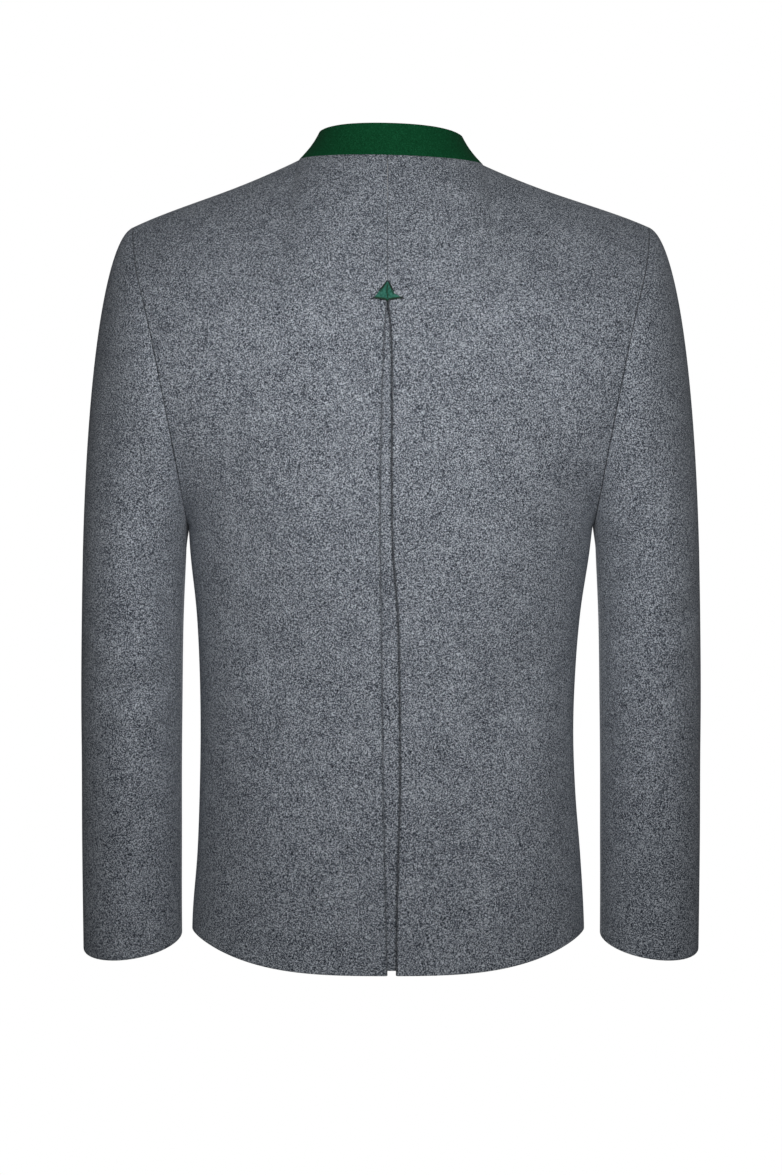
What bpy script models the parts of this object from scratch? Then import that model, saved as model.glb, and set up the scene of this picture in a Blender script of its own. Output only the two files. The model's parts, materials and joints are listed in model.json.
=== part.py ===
"""Tyrolean loden jacket in its worn form: hollow, with open neck, hem, cuffs and armholes.

Metres, +Z up. The wearer faces -Y, so the wearer's left is +X. The origin is the middle of the neck
opening, level with the tops of the shoulders, which is where the wearer carries the jacket.

Every cloth piece is a wall of even thickness. Its outer face is a formula of two numbers:
a panel's u runs from its centre edge out to the side seam and armhole, and its v from the hem up.
"""

import math
from collections import namedtuple

import bmesh
import bpy
import numpy as np
from mathutils import Vector

# Cloth and making
CLOTH = 0.002  # milled loden
COLLAR_CLOTH = 0.003  # felt on a canvas stand
PATCH_CLOTH = 0.001  # the arrow's green wool
SEAM_GAP = 0.0003  # between pieces that meet
SQUARENESS = 2.25  # of a level section: 2 is an ellipse

# Levels
BACK_HEM = -0.7085
FRONT_HEM = -0.706
SIDE_HEM_RISE = 0.030  # the hem is higher at the side seams
UNDERARM = -0.322
BACK_YOKE = -0.165  # the centre line's level where the shoulder begins to close over
FRONT_YOKE = -0.178

# Neck and shoulder
NECK_HALF_WIDTH = 0.0815
NECK_BACK = 0.055
NECK_FRONT = 0.070
NECK_FRONT_DROP = 0.056
NECK_TILT = 0.027  # the neck sits a touch higher on the wearer's left
NECK_SHARE = 0.38  # the part of a panel's top edge that is neck; the rest is shoulder seam
NECK_STEPS = 5  # columns of a panel along its neck edge
YOKE_TURN = 75.0  # the armhole's angle at the yoke row
CENTRE_SLOPE = 60.0  # degrees, how steeply the centre line meets the neck
BACK_NECK_POINT_SLOPE, FRONT_NECK_POINT_SLOPE = 14.0, 24.0  # the same where neck and shoulder meet
SLOPE_FADE = 0.7  # of the shoulder seam, where it flattens
SHOULDER_FALL, SHOULDER_HOLLOW = 0.47, 0.9  # of the shoulder seam: its slope, and what eases it
SHOULDER_REACH, NECK_REACH_LOSS = 0.045, 0.008  # how soon the cloth bends over to its top edge
BACK_FULLNESS, FRONT_FULLNESS = 0.45, 0.15  # over the shoulder blades and the chest

# Front closing, left over right
OVERLAP = 0.020  # each front runs this far past the centre
OVERLAP_FADE = 0.055
FLAP = 0.2  # the part of a front's columns that lie over the overlap
BUTTON_RADIUS = 0.0105
BUTTON_THICKNESS = 0.0035
BUTTON_EDGE = 0.0008
BUTTON_LEVELS = (-0.088, -0.208, -0.328, -0.448, -0.568)

# Centre back pleat
SEAM_ALLOWANCE = 0.010
PLEAT_RETURN = 0.032  # the cloth folded back under each pleat edge
FOLD_SLIT = 0.0006  # between a pleat edge's two layers
FOLD_RADIUS = CLOTH + FOLD_SLIT / 2
ARROW_TOP, ARROW_BASE = -0.1155, -0.1305
ARROW_HALF_WIDTH = 0.0128
ARROW_POINT = 0.035  # of its width, left at the top
ARROW_STRAIGHT = 0.55  # of its taper; the rest flares at the base
ARROW_BASE_LIFT = 0.0008  # of the base at its two ends
PLEAT_TOP = -0.128
UNDERLAY_HEM_RISE = 0.004

# Sleeve
HIND_SEAM, FORE_SEAM = 165.0, 240.0  # angles from the outer side, round by the back
CUFF_LEVEL = -0.692
CUFF_OUT_DROP, CUFF_BACK_DROP = 0.0060, 0.0125
# The cap's swell out and down past the armhole: even, more on top, more at back and front
CAP_OUT, CAP_OUT_TOP, CAP_OUT_SIDES = 0.0126, 0.0114, 0.0050
CAP_DOWN, CAP_DOWN_TOP, CAP_DOWN_SIDES = 0.0195, -0.0015, -0.0095
CAP_BACK = 0.008
CAP_RISE, CAP_RISE_OUT, CAP_RISE_IN = 0.083, 0.0775, 0.004  # how it comes into the level rings

# Collar
COLLAR_HEIGHT_BACK, COLLAR_HEIGHT_FRONT = 0.0298, 0.028
COLLAR_SIDE_HEIGHT = 0.0025  # more at its sides
COLLAR_END_GAP = 0.005  # from the centre front to each end
COLLAR_CORNER = 0.014
COLLAR_CORNER_DEPTH = 0.98  # of a full quarter round
COLLAR_LEAN, COLLAR_SIDE_LEAN = 14.0, 22.0  # degrees towards the neck, and more at its sides
COLLAR_HOLLOW, COLLAR_SIDE_HOLLOW = 0.0012, 0.0005  # all round, and more at the sides

# How finely the pieces are made
SHOULDER_COLUMNS = 7
LOW_ROWS, ARMHOLE_ROWS, TOP_ROWS = 8, 8, 6
SLEEVE_STEP = 15  # degrees
CAP_ROWS = (0, 0.08, 0.2, 0.36, 0.56, 0.78)
SLEEVE_ROWS = 7
STRIP_COLUMNS = 7
COLLAR_ROWS = 5
ARROW_ROWS = 5
FINE_STEP = 1e-4  # for slopes of a surface
FINDING_STEPS = 20  # to find a point on the back

# Level sections of the body, hem to shoulder. back and front are depths at the centre lines.
Torso = namedtuple("Torso", "z half_width back front lean")
TORSO = [
    Torso(-0.730, 0.1738, 0.1170, 0.1300, 0.0022),
    Torso(-0.665, 0.1731, 0.1155, 0.1285, 0.0025),
    Torso(-0.612, 0.1695, 0.1120, 0.1265, 0.0020),
    Torso(-0.558, 0.1664, 0.1080, 0.1240, 0.0031),
    Torso(-0.505, 0.1651, 0.1055, 0.1225, 0.0036),
    Torso(-0.451, 0.1664, 0.1060, 0.1225, 0.0031),
    Torso(-0.398, 0.1700, 0.1095, 0.1245, 0.0022),
    Torso(-0.345, 0.1768, 0.1160, 0.1280, 0.0010),
    Torso(-0.322, 0.1790, 0.1185, 0.1292, 0.0004),
    Torso(-0.280, 0.1850, 0.1215, 0.1300, 0.0000),
    Torso(-0.230, 0.1850, 0.1230, 0.1280, 0.0000),
    Torso(-0.180, 0.1850, 0.1205, 0.1200, 0.0000),
    Torso(-0.130, 0.1850, 0.1125, 0.1060, 0.0000),
    Torso(-0.090, 0.1850, 0.1010, 0.0900, 0.0000),
]

# The armhole of the wearer's left side. turn is the angle round it from the shoulder by the back.
Armhole = namedtuple("Armhole", "turn x y z")
ARMHOLE = [
    Armhole(0, 0.2285, -0.0040, -0.0570),
    Armhole(30, 0.2235, 0.0460, -0.0950),
    Armhole(60, 0.2105, 0.0780, -0.1460),
    Armhole(90, 0.1985, 0.0850, -0.2030),
    Armhole(120, 0.1885, 0.0710, -0.2580),
    Armhole(150, 0.1820, 0.0410, -0.3010),
    Armhole(180, 0.1794, 0.0000, -0.3220),
    Armhole(210, 0.1792, -0.0430, -0.3010),
    Armhole(240, 0.1810, -0.0760, -0.2540),
    Armhole(270, 0.1880, -0.0885, -0.1960),
    Armhole(300, 0.2030, -0.0790, -0.1370),
    Armhole(330, 0.2210, -0.0490, -0.0900),
    Armhole(360, 0.2285, -0.0040, -0.0570),
]

# Level rings of the sleeve below the cap, by their centre and half sizes.
Sleeve = namedtuple("Sleeve", "z x y half_width half_depth")
SLEEVE = [
    Sleeve(-0.345, 0.2272, 0.0000, 0.0457, 0.0665),
    Sleeve(-0.400, 0.2286, 0.0025, 0.0450, 0.0630),
    Sleeve(-0.478, 0.2294, 0.0030, 0.0447, 0.0580),
    Sleeve(-0.532, 0.2297, -0.0010, 0.0443, 0.0555),
    Sleeve(-0.598, 0.2302, -0.0090, 0.0443, 0.0520),
    Sleeve(-0.650, 0.2305, -0.0160, 0.0441, 0.0490),
    Sleeve(-0.710, 0.2304, -0.0230, 0.0440, 0.0470),
]

# The two pleat edges, which are a closed seam above the arrow.
Pleat = namedtuple("Pleat", "z left right")
PLEAT = [
    Pleat(-0.720, 0.0039, -0.0045),
    Pleat(-0.636, 0.0058, -0.0056),
    Pleat(-0.552, 0.0076, -0.0080),
    Pleat(-0.469, 0.0084, -0.0076),
    Pleat(-0.400, 0.0092, -0.0060),
    Pleat(-0.348, 0.0102, -0.0018),
    Pleat(-0.268, 0.0098, -0.0006),
    Pleat(-0.206, 0.0084, -0.0009),
    Pleat(-0.166, 0.0066, -0.0008),
    Pleat(-0.146, 0.0050, 0.0008),
    Pleat(-0.130, 0.00335, 0.00265),
    Pleat(-0.110, 0.00315, 0.00285),
    Pleat(0.010, 0.00315, 0.00285),
]


def curve_through(table, knot, column):
    """A smooth curve through one column of a table, as a function of its knot column."""
    knots = np.array([getattr(row, knot) for row in table], float)
    values = np.array([getattr(row, column) for row in table], float)
    order = np.argsort(knots)
    knots, values = knots[order], values[order]
    slopes = np.gradient(values, knots)

    def at(where):
        where = np.clip(where, knots[0], knots[-1])
        i = np.clip(np.searchsorted(knots, where) - 1, 0, len(knots) - 2)
        step = knots[i + 1] - knots[i]
        t = (where - knots[i]) / step
        rise = (3 - 2 * t) * t * t
        start = t * (1 - t) * (1 - t) * step * slopes[i]
        end = t * t * (t - 1) * step * slopes[i + 1]
        return values[i] + (values[i + 1] - values[i]) * rise + start + end

    return at


half_width_at = curve_through(TORSO, "z", "half_width")
lean_at = curve_through(TORSO, "z", "lean")
depth_at = {+1: curve_through(TORSO, "z", "back"), -1: curve_through(TORSO, "z", "front")}
pleat_edge_at = {+1: curve_through(PLEAT, "z", "left"), -1: curve_through(PLEAT, "z", "right")}
sleeve_at = {name: curve_through(SLEEVE, "z", name) for name in Sleeve._fields[1:]}

# One more turn at each end lets the armhole's slopes close on themselves.
armhole_round = [
    row._replace(turn=row.turn + shift)
    for shift in (-360, 0, 360)
    for row in ARMHOLE[:-1]
]
armhole_at = [curve_through(armhole_round, "turn", axis) for axis in "xyz"]


def stack(x, y, z):
    return np.stack(np.broadcast_arrays(x, y, z), axis=-1).astype(float)


def signed_power(value, power):
    return np.sign(value) * np.abs(value) ** power


def unit(vectors):
    return vectors / np.maximum(np.linalg.norm(vectors, axis=-1, keepdims=True), 1e-12)


def bezier(p0, p1, p2, p3, t):
    t = np.asarray(t)[..., None]
    r = 1 - t
    return r**3 * p0 + 3 * r * r * t * p1 + 3 * r * t * t * p2 + t**3 * p3


def armhole(turn):
    """A point of the left armhole."""
    return stack(*(axis(np.asarray(turn, float)) for axis in armhole_at))


def normals_of(surface, a, b):
    """Outward or inward unit normals of surface(a, b), by small steps each way."""
    along = surface(a + FINE_STEP, b) - surface(a - FINE_STEP, b)
    up = surface(a, b + FINE_STEP) - surface(a, b - FINE_STEP)
    return unit(np.cross(along, up))


# Body panels. side is +1 for the wearer's left. face is +1 for the back and -1 for the front.


def centre_edge(side, face, z):
    """How far out a panel's centre edge lies, in its own half's x."""
    if face > 0:
        return side * (pleat_edge_at[side](z) - lean_at(z)) + FOLD_RADIUS
    return np.full_like(np.asarray(z, float), -OVERLAP)


def hem_level(face, turn):
    level = BACK_HEM if face > 0 else FRONT_HEM
    return level + SIDE_HEM_RISE * np.abs(np.sin(turn)) ** 3


def outward(face, u):
    """A panel's u without the overlap, which stays 0 across a front's overlap."""
    return u if face > 0 else np.maximum(u - FLAP, 0) / (1 - FLAP)


def spread(face, u, start, end):
    """Angles from a panel's centre edge, start, to its outer edge. A front crosses the centre."""
    if face > 0:
        return start + u * (end - start)
    return np.where(u < FLAP, start * (1 - 2 * u / FLAP), (end + start) * outward(face, u) - start)


def section_turn(x, half_width):
    """The angle of a level section at which it is x out from the middle."""
    share = np.clip(signed_power(x / half_width, SQUARENESS / 2), -1, 1)
    return np.arcsin(share)


def section_point(side, face, turn, half_width, z):
    x = half_width * signed_power(np.sin(turn), 2 / SQUARENESS)
    y = face * depth_at[face](z) * np.abs(np.cos(turn)) ** (2 / SQUARENESS)
    return stack(side * x + lean_at(z), y, z)


def lower_panel(side, face, u, k):
    """From the hem, k = 0, to the underarm level, k = 1."""
    middle = hem_level(face, 0.0) * (1 - k) + UNDERARM * k
    start = section_turn(centre_edge(side, face, middle), half_width_at(middle))
    turn = spread(face, u, start, math.pi / 2)
    z = hem_level(face, turn) * (1 - k) + UNDERARM * k
    return section_point(side, face, turn, half_width_at(z), z)


def armhole_panel(side, face, u, k):
    """Beside the lower armhole, from the underarm level, k = 0, to the yoke row, k = 1."""
    yoke = BACK_YOKE if face > 0 else FRONT_YOKE
    edge = armhole(180 - face * (180 - YOKE_TURN) * k)
    middle = UNDERARM + (yoke - UNDERARM) * k
    flat = np.clip(np.abs(edge[..., 1]) / depth_at[face](edge[..., 2]), 0, 0.999)
    half_width = edge[..., 0] / (1 - flat**SQUARENESS) ** (1 / SQUARENESS)
    end = section_turn(edge[..., 0], half_width)
    start = section_turn(centre_edge(side, face, middle), half_width)
    turn = spread(face, u, start, end)
    z = middle + (edge[..., 2] - middle) * outward(face, u) ** 2
    return section_point(side, face, turn, half_width, z)


def neck_point(side, face, turn):
    """A point of the neck edge, from the centre line, turn = 0, to the shoulder seam."""
    reach = NECK_BACK if face > 0 else NECK_FRONT
    drop = 0 if face > 0 else NECK_FRONT_DROP
    x = side * NECK_HALF_WIDTH * np.sin(turn)
    z = NECK_TILT * x - drop * np.cos(turn) ** 2
    return stack(x, face * reach * np.cos(turn), z)


def top_edge(side, face, u):
    """The panel's top edge: the neck, then the shoulder seam out to the armhole."""
    start = np.arcsin(centre_edge(side, face, 0.0) / NECK_HALF_WIDTH)
    out = outward(face, u)
    first = FLAP if face < 0 else 0
    neck_u = np.where(out > 0, first + np.minimum(out / NECK_SHARE, 1) * (1 - first), u)
    neck = neck_point(side, face, spread(face, neck_u, start, math.pi / 2))
    k = np.clip((out - NECK_SHARE) / (1 - NECK_SHARE), 0, 1.1)
    tip = armhole(0.0)
    reach = tip[0] - NECK_HALF_WIDTH
    run = reach * k
    fall = SHOULDER_HOLLOW * run**2 - SHOULDER_FALL * run
    end = SHOULDER_HOLLOW * reach**2 - SHOULDER_FALL * reach
    tilt = side * NECK_TILT * NECK_HALF_WIDTH * (1 - k)
    z = fall + (tip[2] - end) * k**5 + tilt
    shoulder = stack(side * (NECK_HALF_WIDTH + run), tip[1] * k, z)
    return np.where((out < NECK_SHARE)[..., None], neck, shoulder)


def shoulder_panel(side, face, u, k):
    """From the yoke row, k = 0, over to the neck and shoulder seam, k = 1."""
    mirror = np.array([side, 1, 1])
    share = YOKE_TURN / (180 - YOKE_TURN)
    low = armhole_panel(side, face, u, np.ones_like(u))
    below = armhole_panel(side, face, u, np.full_like(u, 1 - FINE_STEP))
    rise = (low - below) / FINE_STEP * share / 3
    out = outward(face, u)
    fuller = 1 + (BACK_FULLNESS if face > 0 else FRONT_FULLNESS) * (1 - out**4)
    top = top_edge(side, face, u)
    near_centre = np.clip(1 - out / NECK_SHARE, 0, 1)
    neck_point_slope = BACK_NECK_POINT_SLOPE if face > 0 else FRONT_NECK_POINT_SLOPE
    past_neck = np.clip((out - NECK_SHARE) / (1 - NECK_SHARE) / SLOPE_FADE, 0, 1)
    slope = neck_point_slope * (1 - past_neck**2 * (3 - 2 * past_neck))
    slope = np.radians(slope + (CENTRE_SLOPE - neck_point_slope) * near_centre)
    reach = SHOULDER_REACH - NECK_REACH_LOSS * near_centre
    handle = stack(0 * u, face * reach * np.cos(slope), -reach * np.sin(slope))
    free = bezier(low, low + rise * fuller[..., None], top + handle, top, k)

    one = np.ones_like(u)
    edge_low = armhole_panel(side, face, one, one)
    edge_below = armhole_panel(side, face, one, one - FINE_STEP)
    edge_rise = (edge_low - edge_below) / FINE_STEP * share / 3
    edge_top = top_edge(side, face, one)
    edge_handle = stack(0 * u, face * SHOULDER_REACH * one, 0 * u)
    plain = bezier(edge_low, edge_low + edge_rise, edge_top + edge_handle, edge_top, k)
    seam = armhole(face * YOKE_TURN * (1 - k)) * mirror
    return free + (seam - plain) * (out**6)[..., None]


def panel(side, face, u, v):
    """The outer face of a body panel. v is 0 at the hem, 1 at the underarm, 2 at the yoke, 3 on top."""
    u, v = np.broadcast_arrays(np.asarray(u, float), np.asarray(v, float))
    low = lower_panel(side, face, u, np.clip(v, 0, 1))
    middle = armhole_panel(side, face, u, np.clip(v - 1, 0, 1))
    top = shoulder_panel(side, face, u, np.clip(v - 2, 0, 1))
    return np.where((v <= 1)[..., None], low, np.where((v <= 2)[..., None], middle, top))


def panel_normals(side, face, u, v):
    normals = normals_of(lambda a, b: panel(side, face, a, b), u, v)
    return normals * (-side * face)


def share_seam(side, face, u, normals):
    """Gives the shoulder seam's row the mean direction of the two panels that meet in it."""
    out = outward(face, u[-1])
    across = out if face < 0 else FLAP + (1 - FLAP) * out
    other = panel_normals(side, -face, across, np.full_like(across, 3.0))
    mean = unit(normals[-1] + other)
    on_seam = out > NECK_SHARE - FINE_STEP
    normals[-1] = np.where(on_seam[:, None], mean, normals[-1])


def on_back(x, z):
    """The back's outer face straight behind each (x, z), with its normal."""
    points, normals = np.zeros(x.shape + (3,)), np.zeros(x.shape + (3,))
    fine = FINE_STEP
    left = x > (pleat_edge_at[1](z) + pleat_edge_at[-1](z)) / 2
    for side, pick in ((1, left), (-1, ~left)):
        u, v = np.full(pick.sum(), 0.1), np.where(z[pick] < UNDERARM, 0.5, 1.7)
        for _ in range(FINDING_STEPS):
            here = panel(side, 1, u, v)
            du = (panel(side, 1, u + fine, v) - panel(side, 1, u - fine, v)) / (2 * fine)
            dv = (panel(side, 1, u, v + fine) - panel(side, 1, u, v - fine)) / (2 * fine)
            off_x, off_z = x[pick] - here[:, 0], z[pick] - here[:, 2]
            det = du[:, 0] * dv[:, 2] - dv[:, 0] * du[:, 2]
            u = u + (off_x * dv[:, 2] - off_z * dv[:, 0]) / det
            v = np.clip(v + (off_z * du[:, 0] - off_x * du[:, 2]) / det, 0, 3)
        points[pick] = panel(side, 1, u, v)
        normals[pick] = panel_normals(side, 1, u, v)
    return points, normals


# Sleeve. turn is the angle round it: 0 outside, 90 back, 180 against the body, 270 front.


def sleeve_ring(turn, z):
    angle = np.radians(turn)
    x = sleeve_at["x"](z) + sleeve_at["half_width"](z) * np.cos(angle)
    y = sleeve_at["y"](z) + sleeve_at["half_depth"](z) * np.sin(angle)
    return stack(x, y, z)


def sleeve_cap(turn, k):
    """From the armhole, k = 0, to the level ring below the underarm, k = 1."""
    angle = np.radians(turn)
    start = armhole(turn)
    top, sides = np.cos(angle), np.sin(angle) ** 2
    out = CAP_OUT + CAP_OUT_TOP * top + CAP_OUT_SIDES * sides
    down = CAP_DOWN + CAP_DOWN_TOP * top + CAP_DOWN_SIDES * np.cos(2 * angle)
    leave = stack(out, CAP_BACK * np.sin(angle), -down)
    end = sleeve_ring(turn, SLEEVE[0].z * np.ones_like(angle))
    arrive = stack(-CAP_RISE_IN * (1 + top) / 2, 0 * angle, CAP_RISE + CAP_RISE_OUT * top)
    return bezier(start, start + leave, end + arrive, end, k)


def sleeve(side, turn, v):
    """The outer face of a sleeve. v is 0 at the armhole, 1 below the cap, 2 at the cuff."""
    turn, v = np.broadcast_arrays(np.asarray(turn, float), np.asarray(v, float))
    angle = np.radians(turn)
    cuff = CUFF_LEVEL - CUFF_OUT_DROP * np.cos(angle) - CUFF_BACK_DROP * np.sin(angle)
    z = SLEEVE[0].z + (cuff - SLEEVE[0].z) * np.clip(v - 1, 0, 1)
    cap = sleeve_cap(turn, np.clip(v, 0, 1))
    points = np.where((v <= 1)[..., None], cap, sleeve_ring(turn, z))
    return (points + np.array([SEAM_GAP, 0, 0])) * np.array([side, 1, 1])


def sleeve_normals(side, turn, v):
    normals = normals_of(lambda a, b: sleeve(side, a * 360, b), turn / 360, v)
    return normals * -side


# Collar. turn runs from the left end, round by the back, to the right end.


def collar(turn, k):
    """The collar's outer face, hollowed a little between base and top. turn is 0 at the centre back and +-180 at the centre front."""
    turn, k = np.broadcast_arrays(np.asarray(turn, float), np.asarray(k, float))
    angle = np.radians(turn)
    ahead = (1 - np.cos(angle)) / 2
    back = neck_point(1, 1, angle)
    front = neck_point(1, -1, math.pi - angle)
    base = np.where((np.abs(angle) <= math.pi / 2)[..., None], back, front)
    sideways = np.sin(angle) ** 2
    height = COLLAR_HEIGHT_BACK + (COLLAR_HEIGHT_FRONT - COLLAR_HEIGHT_BACK) * ahead + COLLAR_SIDE_HEIGHT * sideways
    inward = unit(stack(-np.sin(angle), -np.cos(angle), 0 * angle))
    lean = np.radians(COLLAR_LEAN + COLLAR_SIDE_LEAN * sideways)
    rise = inward * np.sin(lean)[..., None] + stack(0 * angle, 0 * angle, np.cos(lean))
    hollow = (COLLAR_HOLLOW + COLLAR_SIDE_HOLLOW * sideways) * np.sin(math.pi * k)
    return base + rise * (height * k)[..., None] + inward * hollow[..., None]


# Making solids


def material(name, colour, roughness):
    made = bpy.data.materials.new(name)
    made.diffuse_color = (*colour, 1)
    made.use_nodes = True
    shader = made.node_tree.nodes["Principled BSDF"]
    shader.inputs["Base Color"].default_value = (*colour, 1)
    shader.inputs["Roughness"].default_value = roughness
    shader.inputs["Metallic"].default_value = 0.0
    return made


def add_object(name, mesh_data, finish):
    mesh = bpy.data.meshes.new(name)
    bmesh.ops.recalc_face_normals(mesh_data, faces=mesh_data.faces)
    mesh_data.to_mesh(mesh)
    mesh_data.free()
    mesh.shade_smooth()
    mesh.set_sharp_from_angle(angle=math.radians(40))
    mesh.materials.append(finish)
    made = bpy.data.objects.new(name, mesh)
    bpy.context.scene.collection.objects.link(made)
    return made


def draw_in(points, row=None, column=None, by=SEAM_GAP / 2):
    """Moves one edge of a grid of points back along the cloth, which leaves the seam's gap."""
    if column is not None:
        beside = column + 1 if column == 0 else column - 1
        points[:, column] += by * unit(points[:, beside] - points[:, column])
    if row is not None:
        beside = row + 1 if row == 0 else row - 1
        points[row] += by * unit(points[beside] - points[row])


def add_cloth(name, outer, normals, thickness, finish):
    """A wall of cloth: a grid of points on its outer face, and the same grid moved in."""
    inner = outer - thickness * normals
    rows, columns = outer.shape[:2]
    made = bmesh.new()
    skins = [
        [[made.verts.new(Vector(point)) for point in row] for row in skin]
        for skin in (outer, inner)
    ]
    for skin in skins:
        for i in range(rows - 1):
            for j in range(columns - 1):
                made.faces.new((skin[i][j], skin[i][j + 1], skin[i + 1][j + 1], skin[i + 1][j]))
    rim = [(0, j) for j in range(columns)]
    rim += [(i, columns - 1) for i in range(1, rows)]
    rim += [(rows - 1, j) for j in range(columns - 2, -1, -1)]
    rim += [(i, 0) for i in range(rows - 2, 0, -1)]
    for (i, j), (m, n) in zip(rim, rim[1:] + rim[:1]):
        made.faces.new((skins[0][i][j], skins[0][m][n], skins[1][m][n], skins[1][i][j]))
    return add_object(name, made, finish)


def panel_grid(face):
    """The columns and rows of a body panel. Rows beside the armhole meet the sleeve's columns."""
    neck = np.linspace(0, NECK_SHARE, NECK_STEPS + 1)
    out = np.concatenate([neck[:-1], np.linspace(NECK_SHARE, 1, SHOULDER_COLUMNS)])
    columns = out if face > 0 else np.concatenate([[0, FLAP / 2], FLAP + (1 - FLAP) * out])
    low, beside = np.linspace(0, 1, LOW_ROWS), np.linspace(1, 2, ARMHOLE_ROWS)
    top = np.linspace(2, 3, TOP_ROWS)
    return np.meshgrid(columns, np.concatenate([low[:-1], beside[:-1], top]))


def add_back(name, side, finish):
    """A back half, with its centre edge folded under as seam allowance and pleat."""
    grid_u, grid_v = panel_grid(1)
    outer = panel(side, 1, grid_u, grid_v)
    normals = panel_normals(side, 1, grid_u, grid_v)
    share_seam(side, 1, grid_u, normals)
    edge, normal = outer[:, 0], normals[:, 0]
    inward = unit(edge - outer[:, 1])
    inward = unit(inward - (inward * normal).sum(-1, keepdims=True) * normal)
    deep = np.where(edge[:, 2] < PLEAT_TOP, PLEAT_RETURN, SEAM_ALLOWANCE)[:, None]
    under = edge - 2 * FOLD_RADIUS * normal
    folded = [under - deep * inward, under - deep / 2 * inward]
    folded_normals = [-normal, -normal]
    for angle in np.radians((180, 120, 60)):
        facing = normal * math.cos(angle) + inward * math.sin(angle)
        folded.append(edge + FOLD_RADIUS * (facing - normal))
        folded_normals.append(facing)
    outer = np.concatenate([np.stack(folded, axis=1), outer], axis=1)
    normals = np.concatenate([np.stack(folded_normals, axis=1), normals], axis=1)
    draw_in(outer, column=-1)
    draw_in(outer, row=-1)
    return add_cloth(name, outer, normals, CLOTH, finish)


def add_front(name, side, finish):
    """A front. The right one passes under the left where they overlap."""
    grid_u, grid_v = panel_grid(-1)
    outer = panel(side, -1, grid_u, grid_v)
    normals = panel_normals(side, -1, grid_u, grid_v)
    share_seam(side, -1, grid_u, normals)
    if side < 0:
        fade = np.clip((OVERLAP_FADE + outer[..., 0]) / (OVERLAP_FADE - OVERLAP), 0, 1)
        fade = np.where(grid_u <= FLAP, 1, fade * fade * (3 - 2 * fade))
        outer = outer - ((CLOTH + SEAM_GAP) * fade)[..., None] * normals
    draw_in(outer, column=-1)
    draw_in(outer, row=-1)
    return add_cloth(name, outer, normals, CLOTH, finish)


def add_sleeve_piece(name, side, first, last, finish):
    """One cut piece of a sleeve, between two angles."""
    turns = np.linspace(first, last, round((last - first) / SLEEVE_STEP) + 1)
    rows = np.concatenate([CAP_ROWS, np.linspace(1, 2, SLEEVE_ROWS)])
    turn, v = np.meshgrid(turns, rows)
    outer = sleeve(side, turn, v)
    normals = sleeve_normals(side, turn, v)
    draw_in(outer, row=0)
    draw_in(outer, column=0)
    draw_in(outer, column=-1)
    return add_cloth(name, outer, normals, CLOTH, finish)


def add_underlay(name, finish):
    """The strip behind the pleat, which shows between its two edges."""
    rows = panel_grid(1)[1][:, 0]
    levels = panel(1, 1, 0 * rows, rows)[:, 2]
    levels = np.clip(levels, BACK_HEM + UNDERLAY_HEM_RISE, PLEAT_TOP)
    share, z = np.meshgrid(np.linspace(0, 1, STRIP_COLUMNS), np.unique(levels))
    left = pleat_edge_at[1](z) + PLEAT_RETURN
    right = pleat_edge_at[-1](z) - PLEAT_RETURN
    outer, normals = on_back(right + share * (left - right), z)
    outer = outer - (2 * FOLD_RADIUS + SEAM_GAP) * normals
    return add_cloth(name, outer, normals, CLOTH, finish)


def add_arrow(name, finish):
    """The green arrow at the head of the pleat: a triangle with hollow sides."""
    share, k = np.meshgrid(np.linspace(-1, 1, STRIP_COLUMNS), np.linspace(0, 1, ARROW_ROWS))
    taper = ARROW_STRAIGHT * (1 - k) + (1 - ARROW_STRAIGHT) * (1 - k) ** 3
    half = ARROW_HALF_WIDTH * (ARROW_POINT + (1 - ARROW_POINT) * taper)
    middle = (pleat_edge_at[1](PLEAT_TOP) + pleat_edge_at[-1](PLEAT_TOP)) / 2
    z = ARROW_BASE + (ARROW_TOP - ARROW_BASE) * k + ARROW_BASE_LIFT * np.abs(share) * (1 - k)
    outer, normals = on_back(middle + share * half, z)
    outer = outer + (PATCH_CLOTH + SEAM_GAP) * normals
    return add_cloth(name, outer, normals, PATCH_CLOTH, finish)


def add_collar(name, finish):
    """The stand collar, one strip round the neck with rounded front corners."""
    end = 180 - math.degrees(math.asin(COLLAR_END_GAP / NECK_HALF_WIDTH))
    flap = 180 - math.degrees(math.asin(OVERLAP / NECK_HALF_WIDTH))
    back, front = np.linspace(0, 90, NECK_STEPS + 1), np.linspace(90, flap, NECK_STEPS + 1)
    half = np.concatenate([back[:-1], front[:-1], np.linspace(flap, end, NECK_STEPS)])
    turns = np.concatenate([half[::-1], -half[1:]])
    turn, k = np.meshgrid(turns, np.linspace(0, 1, COLLAR_ROWS))
    along = np.radians(end - np.abs(turn)) * NECK_HALF_WIDTH
    left = np.clip(1 - along / COLLAR_CORNER, 0, 1)
    rounded = 1 - np.sqrt(1 - left**2 * COLLAR_CORNER_DEPTH)
    corner = COLLAR_CORNER / COLLAR_HEIGHT_FRONT * rounded
    k = k * (1 - corner)
    outer = collar(turn, k)
    normals = normals_of(lambda a, b: collar(a * 360, b), turn / 360, k)
    outer = outer + SEAM_GAP * unit(collar(turn, 1.0) - collar(turn, 0.0))
    return add_cloth(name, outer, normals, COLLAR_CLOTH, finish)


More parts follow.
